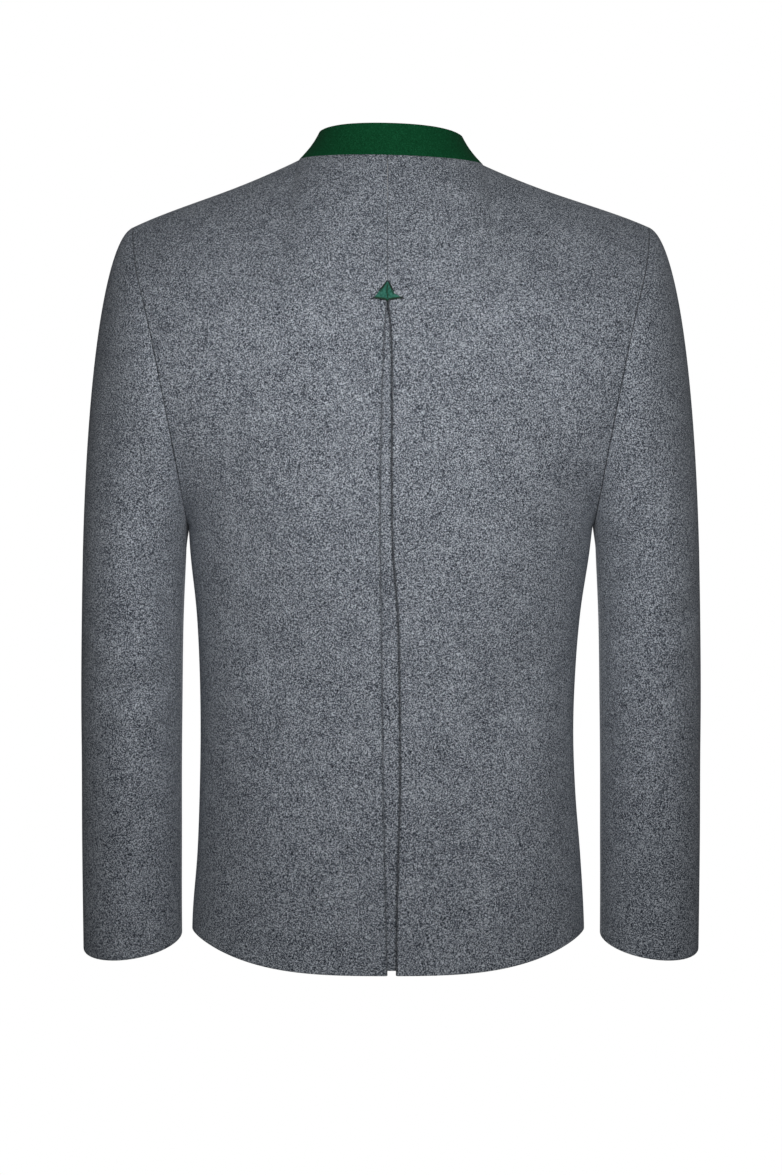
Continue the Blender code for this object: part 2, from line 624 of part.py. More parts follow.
def add_button(name, level, finish):
    """A flat horn button on the centre front, standing just off the left front's cloth."""
    u = np.linspace(0, 0.4, 400)
    v = np.linspace(0, 2.9, 900)
    grid_u, grid_v = np.meshgrid(u, v)
    points = panel(1, -1, grid_u, grid_v)
    near = np.hypot(points[..., 0], points[..., 2] - level)
    i, j = np.unravel_index(np.argmin(near), near.shape)
    here = points[i, j]
    facing = Vector(panel_normals(1, -1, grid_u[i, j], grid_v[i, j]))
    under = points[near < BUTTON_RADIUS + 0.002]
    proud = max(0.0, ((under - here) @ np.array(facing)).max())
    made = bmesh.new()
    bmesh.ops.create_cone(
        made,
        cap_ends=True,
        segments=16,
        radius1=BUTTON_RADIUS,
        radius2=BUTTON_RADIUS,
        depth=BUTTON_THICKNESS,
    )
    rims = [edge for edge in made.edges if abs(edge.verts[0].co.z - edge.verts[1].co.z) < 1e-6]
    bmesh.ops.bevel(made, geom=rims, offset=BUTTON_EDGE, segments=1, affect="EDGES")
    button = add_object(name, made, finish)
    button.location = Vector(here) + facing * (proud + 2 * SEAM_GAP + BUTTON_THICKNESS / 2)
    button.rotation_euler = facing.to_track_quat("Z", "Y").to_euler()
    return button


def build():
    for old in list(bpy.data.objects):
        bpy.data.objects.remove(old)
    loden = material("grey_loden", (0.135, 0.155, 0.180), 0.95)
    green = material("green_felt", (0.006, 0.055, 0.021), 0.9)
    arrow_green = material("arrow_green", (0.030, 0.160, 0.110), 0.85)
    horn = material("horn", (0.16, 0.09, 0.045), 0.35)

    for side, word in ((1, "left"), (-1, "right")):
        add_back(f"back_{word}", side, loden)
        add_front(f"front_{word}", side, loden)
        add_sleeve_piece(f"top_sleeve_{word}", side, FORE_SEAM - 360, HIND_SEAM, loden)
        add_sleeve_piece(f"under_sleeve_{word}", side, HIND_SEAM, FORE_SEAM, loden)
    add_underlay("pleat_underlay", loden)
    add_collar("collar", green)
    add_arrow("pleat_arrow", arrow_green)
    for number, level in enumerate(BUTTON_LEVELS, start=1):
        add_button(f"button_{number}", level, horn)


build()
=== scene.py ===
import json
import math
from collections import namedtuple

import bmesh
import bpy
import numpy as np
from mathutils import Matrix, Vector

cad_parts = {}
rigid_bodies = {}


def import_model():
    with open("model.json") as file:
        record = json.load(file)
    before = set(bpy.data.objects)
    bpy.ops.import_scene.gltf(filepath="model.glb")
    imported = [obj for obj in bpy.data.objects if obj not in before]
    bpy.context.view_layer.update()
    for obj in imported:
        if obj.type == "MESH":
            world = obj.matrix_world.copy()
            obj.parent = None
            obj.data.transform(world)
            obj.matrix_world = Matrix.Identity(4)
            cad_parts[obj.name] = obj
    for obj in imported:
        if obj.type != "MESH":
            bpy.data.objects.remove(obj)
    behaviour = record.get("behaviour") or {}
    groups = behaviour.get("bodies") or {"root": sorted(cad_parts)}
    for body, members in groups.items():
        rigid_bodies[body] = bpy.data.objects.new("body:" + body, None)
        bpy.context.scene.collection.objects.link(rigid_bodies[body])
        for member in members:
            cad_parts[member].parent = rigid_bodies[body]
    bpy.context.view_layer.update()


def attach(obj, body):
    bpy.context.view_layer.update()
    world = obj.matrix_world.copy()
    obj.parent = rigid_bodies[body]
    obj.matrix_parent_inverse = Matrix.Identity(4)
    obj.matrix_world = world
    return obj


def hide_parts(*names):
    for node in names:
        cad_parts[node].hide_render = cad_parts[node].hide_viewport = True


# Tyrolean loden jacket, worn and hollow. The wearer faces -Y and has their left at +X.
# The cut follows the CAD solids, finer: every panel is a formula of u, from the centre edge to
# the side, and v, from the hem to the top.


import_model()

cloth = {
    "thickness": 0.002,
    "seamGap": 0.0001,
    "seamRoll": 0.0004,  # how far the cloth turns down into a seam
    "besideSeam": 0.0013,
    "rollShares": (0.06, 0.25, 0.55, 1.0),
    "seamShade": 0.8,  # painted shade along each seam, in place of the shadow in its groove, from 0 to 1
    "patchThickness": 0.001,
    "collarThickness": 0.003,
}
squareness = 2.25  # of a level section, 2 is an ellipse
hem = {"back": -0.7085, "front": -0.706, "sideRise": 0.030}
underarm = -0.322
yoke = {"back": -0.165, "front": -0.178, "turn": 75.0}
neck = {
    "halfWidth": 0.0815,
    "back": 0.055,
    "front": 0.070,
    "frontDrop": 0.056,
    "tilt": 0.027,
    "share": 0.38,
}
shoulder = {
    "fall": 0.47,
    "hollow": 0.9,
    "reach": 0.045,
    "neckReachLoss": 0.008,
    "slopeFade": 0.7,
    "centreSlope": 60,  # degrees
    "neckPointSlope": {+1: 14, -1: 24},
    "fullness": {+1: 0.45, -1: 0.15},
}
overlap = {
    "width": 0.020,
    "fade": 0.055,  # where the lower front leaves the upper one
    "flap": 0.2,  # share of u
    # painted shade along the left front's edge and on the right front under it, in place of the step's
    # shadow
    "shade": 0.6,
    "shadeWidth": 0.0011,
}
pleat = {
    "top": -0.128,
    "seamAllowance": 0.010,
    "underFold": 0.032,
    "foldRadius": 0.0023,
    "foldDegrees": (180, 160, 140, 120, 105, 90, 75, 60, 40, 20),
    "seamCorner": 0.0008,  # above the arrow the edges turn down sharply into a seam
    "cornerChange": 0.012,
    "underlayRise": 0.004,
    "gap": 0.0003,
    # painted shade on the turn of each pleat fold, in place of the shadow at its edge
    "foldEdgeShade": {1: 0.50, -1: 0.85},
    "shade": {1: 0.40, -1: 0.80},  # painted shadow on the underlay just inside each fold edge
    "shadeWidth": 0.0011,
}

Torso = namedtuple("Torso", "z halfWidth back front lean")
torsoTable = [
    Torso(-0.730, 0.1738, 0.1170, 0.1300, 0.0022),
    Torso(-0.665, 0.1731, 0.1155, 0.1285, 0.0025),
    Torso(-0.612, 0.1695, 0.1120, 0.1265, 0.0020),
    Torso(-0.558, 0.1664, 0.1080, 0.1240, 0.0031),
    Torso(-0.505, 0.1651, 0.1055, 0.1225, 0.0036),
    Torso(-0.451, 0.1664, 0.1060, 0.1225, 0.0031),
    Torso(-0.398, 0.1700, 0.1095, 0.1245, 0.0022),
    Torso(-0.345, 0.1768, 0.1160, 0.1280, 0.0010),
    Torso(-0.322, 0.1790, 0.1185, 0.1292, 0.0004),
    Torso(-0.280, 0.1850, 0.1215, 0.1300, 0.0000),
    Torso(-0.230, 0.1850, 0.1230, 0.1280, 0.0000),
    Torso(-0.180, 0.1850, 0.1205, 0.1200, 0.0000),
    Torso(-0.130, 0.1850, 0.1125, 0.1060, 0.0000),
    Torso(-0.090, 0.1850, 0.1010, 0.0900, 0.0000),
]

Armhole = namedtuple("Armhole", "turn x y z")  # turn goes round from the shoulder by the back
armholeTable = [
    Armhole(0, 0.2285, -0.0040, -0.0570),
    Armhole(30, 0.2235, 0.0460, -0.0950),
    Armhole(60, 0.2105, 0.0780, -0.1460),
    Armhole(90, 0.1985, 0.0850, -0.2030),
    Armhole(120, 0.1885, 0.0710, -0.2580),
    Armhole(150, 0.1820, 0.0410, -0.3010),
    Armhole(180, 0.1794, 0.0000, -0.3220),
    Armhole(210, 0.1792, -0.0430, -0.3010),
    Armhole(240, 0.1810, -0.0760, -0.2540),
    Armhole(270, 0.1880, -0.0885, -0.1960),
    Armhole(300, 0.2030, -0.0790, -0.1370),
    Armhole(330, 0.2210, -0.0490, -0.0900),
]

Sleeve = namedtuple("Sleeve", "z x y halfWidth halfDepth")
sleeveTable = [
    Sleeve(-0.345, 0.2272, 0.0000, 0.0457, 0.0665),
    Sleeve(-0.400, 0.2286, 0.0025, 0.0450, 0.0630),
    Sleeve(-0.478, 0.2294, 0.0030, 0.0447, 0.0580),
    Sleeve(-0.532, 0.2297, -0.0010, 0.0443, 0.0555),
    Sleeve(-0.598, 0.2302, -0.0090, 0.0443, 0.0520),
    Sleeve(-0.650, 0.2305, -0.0160, 0.0441, 0.0490),
    Sleeve(-0.710, 0.2304, -0.0230, 0.0440, 0.0470),
]
sleeveCut = {
    "hindSeam": 165.0,
    "foreSeam": 240.0,
    "cuff": -0.692,
    "outDrop": 0.0060,
    "backDrop": 0.0125,
}
# How the sleeve head leaves the armhole and arrives at the sleeve: the mean, and more or less
# of it with the angle
sleeveHead = {
    "out": 0.0126,
    "outTop": 0.0114,
    "outSides": 0.0050,
    "back": 0.008,
    "down": 0.0195,
    "downTop": -0.0015,
    "downTwice": -0.0095,
    "arriveIn": 0.004,
    "arriveUp": 0.083,
    "arriveUpTop": 0.0775,
}

Pleat = namedtuple("Pleat", "z left right")
pleatTable = [
    Pleat(-0.720, 0.0027, -0.0040),
    Pleat(-0.636, 0.0046, -0.0051),
    Pleat(-0.552, 0.0064, -0.0075),
    Pleat(-0.469, 0.0072, -0.0071),
    Pleat(-0.400, 0.0080, -0.0055),
    Pleat(-0.348, 0.0089, -0.0015),
    Pleat(-0.268, 0.0085, -0.0004),
    Pleat(-0.206, 0.0072, -0.0006),
    Pleat(-0.166, 0.0056, 0.0000),
    Pleat(-0.146, 0.0044, 0.0014),
    Pleat(-0.130, 0.00315, 0.00285),
    Pleat(-0.110, 0.00302, 0.00298),
    Pleat(0.010, 0.00302, 0.00298),
]


def curveThrough(table, knot, column):
    knots = np.array([getattr(row, knot) for row in table], float)
    values = np.array([getattr(row, column) for row in table], float)
    order = np.argsort(knots)
    knots, values = knots[order], values[order]
    slopes = np.gradient(values, knots)

    def at(where):
        where = np.clip(where, knots[0], knots[-1])
        i = np.clip(np.searchsorted(knots, where) - 1, 0, len(knots) - 2)
        step = knots[i + 1] - knots[i]
        t = (where - knots[i]) / step
        start = t * (1 - t) * (1 - t) * step * slopes[i]
        end = t * t * (t - 1) * step * slopes[i + 1]
        return values[i] + (values[i + 1] - values[i]) * (3 - 2 * t) * t * t + start + end

    return at


halfWidthAt = curveThrough(torsoTable, "z", "halfWidth")
leanAt = curveThrough(torsoTable, "z", "lean")
depthAt = {+1: curveThrough(torsoTable, "z", "back"), -1: curveThrough(torsoTable, "z", "front")}
pleatEdgeAt = {
    +1: curveThrough(pleatTable, "z", "left"),
    -1: curveThrough(pleatTable, "z", "right"),
}
sleeveAt = {name: curveThrough(sleeveTable, "z", name) for name in Sleeve._fields[1:]}
armholeRound = [
    row._replace(turn=row.turn + shift) for shift in (-360, 0, 360) for row in armholeTable
]
armholeAt = [curveThrough(armholeRound, "turn", axis) for axis in "xyz"]


def stack(x, y, z):
    return np.stack(np.broadcast_arrays(x, y, z), axis=-1).astype(float)


def signedPower(value, power):
    return np.sign(value) * np.abs(value) ** power


def unit(vectors):
    return vectors / np.maximum(np.linalg.norm(vectors, axis=-1, keepdims=True), 1e-12)


def smoothStep(t):
    t = np.clip(t, 0, 1)
    return t * t * (3 - 2 * t)


def bezier(p0, p1, p2, p3, t):
    t = np.asarray(t)[..., None]
    r = 1 - t
    return r**3 * p0 + 3 * r * r * t * p1 + 3 * r * t * t * p2 + t**3 * p3


def armhole(turn):
    return stack(*(axis(np.asarray(turn, float)) for axis in armholeAt))


def foldCorner(z):
    change = smoothStep((z - pleat["top"]) / pleat["cornerChange"] + 0.25)
    return pleat["foldRadius"] + (pleat["seamCorner"] - pleat["foldRadius"]) * change


# Body panels: side +1 is the wearer's left, face +1 the back and -1 the front


def centreEdge(side, face, z):
    if face > 0:
        return side * (pleatEdgeAt[side](z) - leanAt(z)) + foldCorner(z)
    return np.full_like(np.asarray(z, float), -overlap["width"])


def hemLevel(face, turn):
    level = hem["back"] if face > 0 else hem["front"]
    return level + hem["sideRise"] * np.abs(np.sin(turn)) ** 3


def outward(face, u):  # u without the front's overlap, where it stays 0
    return u if face > 0 else np.maximum(u - overlap["flap"], 0) / (1 - overlap["flap"])


def spread(face, u, start, end):  # angles from the centre edge to the side
    if face > 0:
        return start + u * (end - start)
    return np.where(
        u < overlap["flap"],
        start * (1 - 2 * u / overlap["flap"]),
        (end + start) * outward(face, u) - start,
    )


def sectionTurn(x, halfWidth):
    return np.arcsin(np.clip(signedPower(x / halfWidth, squareness / 2), -1, 1))


def sectionPoint(side, face, turn, halfWidth, z):
    x = halfWidth * signedPower(np.sin(turn), 2 / squareness)
    y = face * depthAt[face](z) * np.abs(np.cos(turn)) ** (2 / squareness)
    return stack(side * x + leanAt(z), y, z)


def lowerPanel(side, face, u, k):
    middle = hemLevel(face, 0.0) * (1 - k) + underarm * k
    start = sectionTurn(centreEdge(side, face, middle), halfWidthAt(middle))
    turn = spread(face, u, start, math.pi / 2)
    z = hemLevel(face, turn) * (1 - k) + underarm * k
    return sectionPoint(side, face, turn, halfWidthAt(z), z)


def armholePanel(side, face, u, k):
    level = yoke["back"] if face > 0 else yoke["front"]
    edge = armhole(180 - face * (180 - yoke["turn"]) * k)
    middle = underarm + (level - underarm) * k
    flat = np.clip(np.abs(edge[..., 1]) / depthAt[face](edge[..., 2]), 0, 0.999)
    halfWidth = edge[..., 0] / (1 - flat**squareness) ** (1 / squareness)
    end = sectionTurn(edge[..., 0], halfWidth)
    start = sectionTurn(centreEdge(side, face, middle), halfWidth)
    z = middle + (edge[..., 2] - middle) * outward(face, u) ** 2
    return sectionPoint(side, face, spread(face, u, start, end), halfWidth, z)


def neckPoint(side, face, turn):
    reach = neck["back"] if face > 0 else neck["front"]
    drop = 0 if face > 0 else neck["frontDrop"]
    x = side * neck["halfWidth"] * np.sin(turn)
    return stack(x, face * reach * np.cos(turn), neck["tilt"] * x - drop * np.cos(turn) ** 2)


def topEdge(side, face, u):
    start = np.arcsin(centreEdge(side, face, 0.0) / neck["halfWidth"])
    out = outward(face, u)
    first = overlap["flap"] if face < 0 else 0
    neckU = np.where(out > 0, first + np.minimum(out / neck["share"], 1) * (1 - first), u)
    neckEdge = neckPoint(side, face, spread(face, neckU, start, math.pi / 2))
    k = np.clip((out - neck["share"]) / (1 - neck["share"]), 0, 1.1)
    tip = armhole(0.0)
    reach = tip[0] - neck["halfWidth"]
    end = shoulder["hollow"] * reach**2 - shoulder["fall"] * reach
    tilt = side * neck["tilt"] * neck["halfWidth"] * (1 - k)
    z = shoulder["hollow"] * (reach * k) ** 2 - shoulder["fall"] * reach * k
    z = z + (tip[2] - end) * k**5 + tilt
    ridge = stack(side * (neck["halfWidth"] + reach * k), tip[1] * k, z)
    return np.where((out < neck["share"])[..., None], neckEdge, ridge)


def shoulderForm(side, face, u, k):
    mirror = np.array([side, 1, 1])
    share = yoke["turn"] / (180 - yoke["turn"])
    step = 1e-3
    low = armholePanel(side, face, u, np.ones_like(u))
    rise = (low - armholePanel(side, face, u, np.full_like(u, 1 - step))) / step * share / 3
    out = outward(face, u)
    fuller = 1 + shoulder["fullness"][face] * (1 - out**4)
    top = topEdge(side, face, u)
    nearCentre = np.clip(1 - out / neck["share"], 0, 1)
    atNeckPoint = shoulder["neckPointSlope"][face]
    slope = atNeckPoint + (shoulder["centreSlope"] - atNeckPoint) * nearCentre
    pastNeck = np.clip((out - neck["share"]) / (1 - neck["share"]), 0, 1)
    slope = np.radians(slope - atNeckPoint * smoothStep(pastNeck / shoulder["slopeFade"]))
    reach = shoulder["reach"] - shoulder["neckReachLoss"] * nearCentre
    handle = stack(0 * u, face * reach * np.cos(slope), -reach * np.sin(slope))
    free = bezier(low, low + rise * fuller[..., None], top + handle, top, k)
    # the same curve at the armhole, drawn over to the armhole's own line
    one = np.ones_like(u)
    edgeLow = armholePanel(side, face, one, one)
    edgeRise = (edgeLow - armholePanel(side, face, one, one - step)) / step * share / 3
    edgeTop = topEdge(side, face, one)
    edgeHandle = stack(0 * u, face * shoulder["reach"] * one, 0 * u)
    plain = bezier(edgeLow, edgeLow + edgeRise, edgeTop + edgeHandle, edgeTop, k)
    seam = armhole(face * yoke["turn"] * (1 - k)) * mirror
    return free + (seam - plain) * (out**6)[..., None]


def shoulderPanel(side, face, u, k):
    points = shoulderForm(side, face, u, k)
    if face > 0:  # the centre edge keeps to the pleat's edge
        centre = shoulderForm(side, face, 0 * u, k)
        edge = pleatEdgeAt[side](centre[..., 2]) + side * foldCorner(centre[..., 2])
        points[..., 0] += (edge - centre[..., 0]) * (1 - u) ** 3
    return points


def panel(side, face, u, v):  # v is 0 at the hem, 1 at the underarm, 2 at the yoke, 3 on top
    u, v = np.broadcast_arrays(np.asarray(u, float), np.asarray(v, float))
    low = lowerPanel(side, face, u, np.clip(v, 0, 1))
    middle = armholePanel(side, face, u, np.clip(v - 1, 0, 1))
    top = shoulderPanel(side, face, u, np.clip(v - 2, 0, 1))
    return np.where((v <= 1)[..., None], low, np.where((v <= 2)[..., None], middle, top))


def sleeveRing(turn, z):
    angle = np.radians(turn)
    x = sleeveAt["x"](z) + sleeveAt["halfWidth"](z) * np.cos(angle)
    y = sleeveAt["y"](z) + sleeveAt["halfDepth"](z) * np.sin(angle)
    return stack(x, y, z)


def sleeveCap(turn, k):
    angle = np.radians(turn)
    start = armhole(turn)
    head = sleeveHead
    out = head["out"] + head["outTop"] * np.cos(angle) + head["outSides"] * np.sin(angle) ** 2
    down = head["down"] + head["downTop"] * np.cos(angle) + head["downTwice"] * np.cos(2 * angle)
    leave = stack(out, head["back"] * np.sin(angle), -down)
    end = sleeveRing(turn, sleeveTable[0].z * np.ones_like(angle))
    inwards = head["arriveIn"] * (1 + np.cos(angle)) / 2
    arrive = stack(-inwards, 0 * angle, head["arriveUp"] + head["arriveUpTop"] * np.cos(angle))
    return bezier(start, start + leave, end + arrive, end, k)


def sleeve(side, turn, v):  # v is 0 at the armhole, 1 below the cap, 2 at the cuff
    turn, v = np.broadcast_arrays(np.asarray(turn, float), np.asarray(v, float))
    angle = np.radians(turn)
    cuff = sleeveCut["cuff"] - sleeveCut["outDrop"] * np.cos(angle)
    cuff = cuff - sleeveCut["backDrop"] * np.sin(angle)
    z = sleeveTable[0].z + (cuff - sleeveTable[0].z) * np.clip(v - 1, 0, 1)
    points = np.where((v <= 1)[..., None], sleeveCap(turn, np.clip(v, 0, 1)), sleeveRing(turn, z))
    return (points + np.array([cloth["seamGap"], 0, 0])) * np.array([side, 1, 1])


# Creases: soft lines in the cloth, proud of it where height is above zero, a trough below
creaseStrength = 1.5
creaseEnd = 0.35  # share of its length over which a crease fades out
creaseFree = {"centre": 0.012, "centreFade": 0.03, "side": 0.12, "top": 0.3, "head": 0.25, "cuff": 0.1}
Crease = namedtuple("Crease", "x0 z0 x1 z1 width height")
backCreases = [
    Crease(0.105, -0.300, 0.045, -0.395, 0.030, 0.0018),
    Crease(-0.110, -0.285, -0.050, -0.420, 0.034, 0.0020),
    Crease(0.150, -0.395, 0.070, -0.470, 0.016, -0.0013),
    Crease(-0.148, -0.420, -0.060, -0.515, 0.018, -0.0015),
    Crease(0.120, -0.520, 0.090, -0.660, 0.024, 0.0016),
    Crease(-0.120, -0.500, -0.100, -0.665, 0.026, 0.0015),
    Crease(0.150, -0.250, 0.120, -0.170, 0.018, -0.0018),
    Crease(-0.152, -0.255, -0.118, -0.165, 0.020, -0.0020),
    Crease(-0.070, -0.120, -0.150, -0.125, 0.020, 0.0016),
    Crease(0.070, -0.125, 0.150, -0.130, 0.022, 0.0012),
]
frontCreases = [
    Crease(0.155, -0.240, 0.095, -0.180, 0.018, -0.0020),
    Crease(-0.150, -0.235, -0.100, -0.170, 0.017, -0.0018),
    Crease(0.150, -0.410, 0.055, -0.455, 0.016, -0.0014),
    Crease(-0.150, -0.400, -0.050, -0.470, 0.018, -0.0015),
    Crease(0.110, -0.520, 0.085, -0.650, 0.022, 0.0014),
    Crease(-0.105, -0.540, -0.090, -0.660, 0.025, 0.0015),
]
# On a sleeve, x is the angle round it in degrees from its outer side by the back
turnLength = 0.00088  # metres of cloth in a degree
leftSleeveCreases = [
    Crease(60, -0.470, 150, -0.455, 0.010, -0.0024),
    Crease(75, -0.492, 140, -0.486, 0.009, 0.0016),
    Crease(40, -0.425, 110, -0.440, 0.012, 0.0015),
    Crease(100, -0.345, 150, -0.395, 0.010, -0.0020),
    Crease(200, -0.400, 280, -0.420, 0.011, -0.0022),
    Crease(215, -0.435, 300, -0.455, 0.012, -0.0026),
    Crease(225, -0.470, 290, -0.480, 0.010, 0.0018),
    Crease(250, -0.560, 300, -0.570, 0.012, -0.0012),
]
rightSleeveCreases = [
    Crease(30, -0.395, 130, -0.425, 0.011, -0.0020),
    Crease(50, -0.425, 120, -0.450, 0.011, 0.0015),
    Crease(105, -0.340, 155, -0.380, 0.010, -0.0022),
    Crease(205, -0.410, 290, -0.430, 0.011, -0.0024),
    Crease(220, -0.445, 300, -0.462, 0.012, -0.0022),
    Crease(230, -0.500, 290, -0.515, 0.011, 0.0015),
]


def creaseHeight(creases, x, z):
    height = np.zeros(np.broadcast(x, z).shape)
    for crease in creases:
        runX, runZ = crease.x1 - crease.x0, crease.z1 - crease.z0
        along = ((x - crease.x0) * runX + (z - crease.z0) * runZ) / (runX**2 + runZ**2)
        nearest = np.clip(along, 0, 1)
        away = np.hypot(x - crease.x0 - nearest * runX, z - crease.z0 - nearest * runZ)
        ends = smoothStep(along / creaseEnd + 0.5) * smoothStep((1 - along) / creaseEnd + 0.5)
        height += creaseStrength * crease.height * np.exp(-((away / crease.width) ** 2)) * ends
    return height


def gridNormals(points, normals):
    # the made grid's own normals, facing as the given ones do
    found = unit(np.cross(np.gradient(points, axis=1), np.gradient(points, axis=0)))
    return found * np.sign(np.sum(found * normals))


def bodyPoints(side, face, u, v):
    points = panel(side, face, u, v)
    step = 1e-4
    across = panel(side, face, u + step, v) - panel(side, face, u - step, v)
    up = panel(side, face, u, v + step) - panel(side, face, u, v - step)
    normals = unit(np.cross(across, up)) * (-side * face)
    creases = backCreases if face > 0 else frontCreases
    fromCentre = np.abs(points[..., 0]) - creaseFree["centre"]
    calm = smoothStep(fromCentre / creaseFree["centreFade"])
    edge = smoothStep((1 - u) / creaseFree["side"]) * smoothStep((3 - v) / creaseFree["top"])
    height = creaseHeight(creases, points[..., 0], points[..., 2]) * calm * edge
    return points + height[..., None] * normals, normals


def shareSeam(side, face, u, normals):
    # the shoulder seam's row takes the mean direction of the two panels that meet in it
    out = outward(face, u[-1])
    across = out if face < 0 else overlap["flap"] + (1 - overlap["flap"]) * out
    other = bodyPoints(side, -face, across, np.full_like(across, 3.0))[1]
    onSeam = out > neck["share"] - 1e-4
    normals[-1] = np.where(onSeam[:, None], unit(normals[-1] + other), normals[-1])


def sleevePoints(side, turn, v):
    points = sleeve(side, turn, v)
    step = 1e-3
    across = sleeve(side, turn + step, v) - sleeve(side, turn - step, v)
    up = sleeve(side, turn, v + step) - sleeve(side, turn, v - step)
    normals = unit(np.cross(across, up)) * -side
    creases = leftSleeveCreases if side > 0 else rightSleeveCreases
    scaled = [c._replace(x0=c.x0 * turnLength, x1=c.x1 * turnLength) for c in creases]
    roundSleeve = np.mod(turn, 360) * turnLength
    edge = smoothStep(v / creaseFree["head"]) * smoothStep((2 - v) / creaseFree["cuff"])
    height = creaseHeight(scaled, roundSleeve, points[..., 2]) * edge
    return points + height[..., None] * normals, normals


def surfaceAt(side, face, x, z):
    # the cloth's outer face and its normal, straight behind or in front of each (x, z)
    x, z = np.asarray(x, float), np.asarray(z, float)
    u = np.full(x.shape, 0.1 if face > 0 else overlap["flap"] / 2)
    v = np.where(z < underarm, 0.5, 1.7)
    step = 1e-4
    for _ in range(20):
        here = panel(side, face, u, v)
        du = (panel(side, face, u + step, v) - panel(side, face, u - step, v)) / (2 * step)
        dv = (panel(side, face, u, v + step) - panel(side, face, u, v - step)) / (2 * step)
        offX, offZ = x - here[..., 0], z - here[..., 2]
        det = du[..., 0] * dv[..., 2] - dv[..., 0] * du[..., 2]
        u = u + np.clip((offX * dv[..., 2] - offZ * dv[..., 0]) / det, -0.1, 0.1)
        v = np.clip(v + (offZ * du[..., 0] - offX * du[..., 2]) / det, 0, 3)
    return bodyPoints(side, face, u, v)


def backAt(x, z):
    left = (x > (pleatEdgeAt[1](z) + pleatEdgeAt[-1](z)) / 2)[..., None]
    pairs = zip(surfaceAt(1, 1, x, z), surfaceAt(-1, 1, x, z))
    return [np.where(left, ours, theirs) for ours, theirs in pairs]


# Cloth meshes


def insertBand(points, axis, end, distances):
    # extra lines beside one edge of a grid, at these distances from it
    points = np.swapaxes(points, 0, axis)
    if end:
        points = points[::-1]
    edge, beside = points[0], points[1]
    length = np.linalg.norm(beside[..., :3] - edge[..., :3], axis=-1, keepdims=True)
    length = np.maximum(length, 1e-9)
    rows = [edge + (beside - edge) * np.minimum(distance / length, 0.9) for distance in distances]
    points = np.concatenate([[edge], rows, points[1:]])
    if end:
        points = points[::-1]
    return np.swapaxes(points, 0, axis)


def rollAway(distance, radius):
    inside = np.clip(1 - distance / radius, 0, 1)
    return radius * (1 - np.sqrt(1 - inside * inside))


def shellFaces(rows, columns):
    # an outer grid, an inner one that faces back, and walls round their rims
    ids = np.arange(rows * columns).reshape(rows, columns)
    corners = [ids[:-1, :-1], ids[:-1, 1:], ids[1:, 1:], ids[1:, :-1]]
    quads = np.stack(corners, axis=-1).reshape(-1, 4)
    rim = np.concatenate([ids[0, :-1], ids[:-1, -1], ids[-1, :0:-1], ids[:0:-1, 0]])
    ahead = np.roll(rim, -1)
    shift = rows * columns
    walls = np.stack([ahead, rim, rim + shift, ahead + shift], axis=-1)
    return np.concatenate([quads, quads[:, ::-1] + shift, walls])


def rolledEdges(grid, thickness, edges):
    # the grid with lines added along its edges, and how far each of its points turns in
    rolls = {}
    for (axis, end), kind in zip(((0, 0), (0, 1), (1, 0), (1, 1)), edges):
        if kind == "fold":
            continue
        radius = thickness / 2 if kind == "free" else cloth["seamRoll"]
        if kind == "seam":
            grid = insertBand(grid, axis, end, [cloth["besideSeam"]])
        distances = [radius * share for share in cloth["rollShares"]]
        if kind == "seam":  # the gap between two pieces
            edge = np.take(grid, -1 if end else 0, axis=axis)
            beside = np.take(grid, -2 if end else 1, axis=axis)
            moved = edge[..., :3] + unit(beside[..., :3] - edge[..., :3]) * cloth["seamGap"] / 2
            index = [slice(None), slice(None), slice(0, 3)]
            index[axis] = -1 if end else 0
            grid[tuple(index)] = moved
        grid = insertBand(grid, axis, end, distances)
        rolls[(axis, end)] = (kind, [0, *distances], radius)
    rows, columns = grid.shape[:2]
    outerRoll, innerRoll = np.zeros((rows, columns)), np.zeros((rows, columns))
    for (axis, end), (kind, distances, radius) in rolls.items():
        for step, distance in enumerate(distances):
            amount = rollAway(distance, radius)
            index = [slice(None), slice(None)]
            index[axis] = -1 - step if end else step
            outerRoll[tuple(index)] = np.maximum(outerRoll[tuple(index)], amount)
            if kind == "seam":
                # painted shade on the seam's roll, darkest at the seam and half as dark where the roll
                # ends
                dark = cloth["seamShade"] * (1 - 0.5 * distance / radius)
                where = (*index, shadeColumn)
                grid[where] = np.maximum(grid[where], dark)
            if kind == "free":
                innerRoll[tuple(index)] = np.maximum(innerRoll[tuple(index)], amount)
    outerRoll = np.minimum(outerRoll, thickness / 2)
    innerRoll = np.minimum(innerRoll, thickness / 2 - 0.00002)
    return grid, outerRoll, innerRoll


# column of each grid that holds its painted shade, 0 to 1, standing in for shadow in seams, folds and
# under edges
shadeColumn = 6  # of a grid's columns, after its points and normals


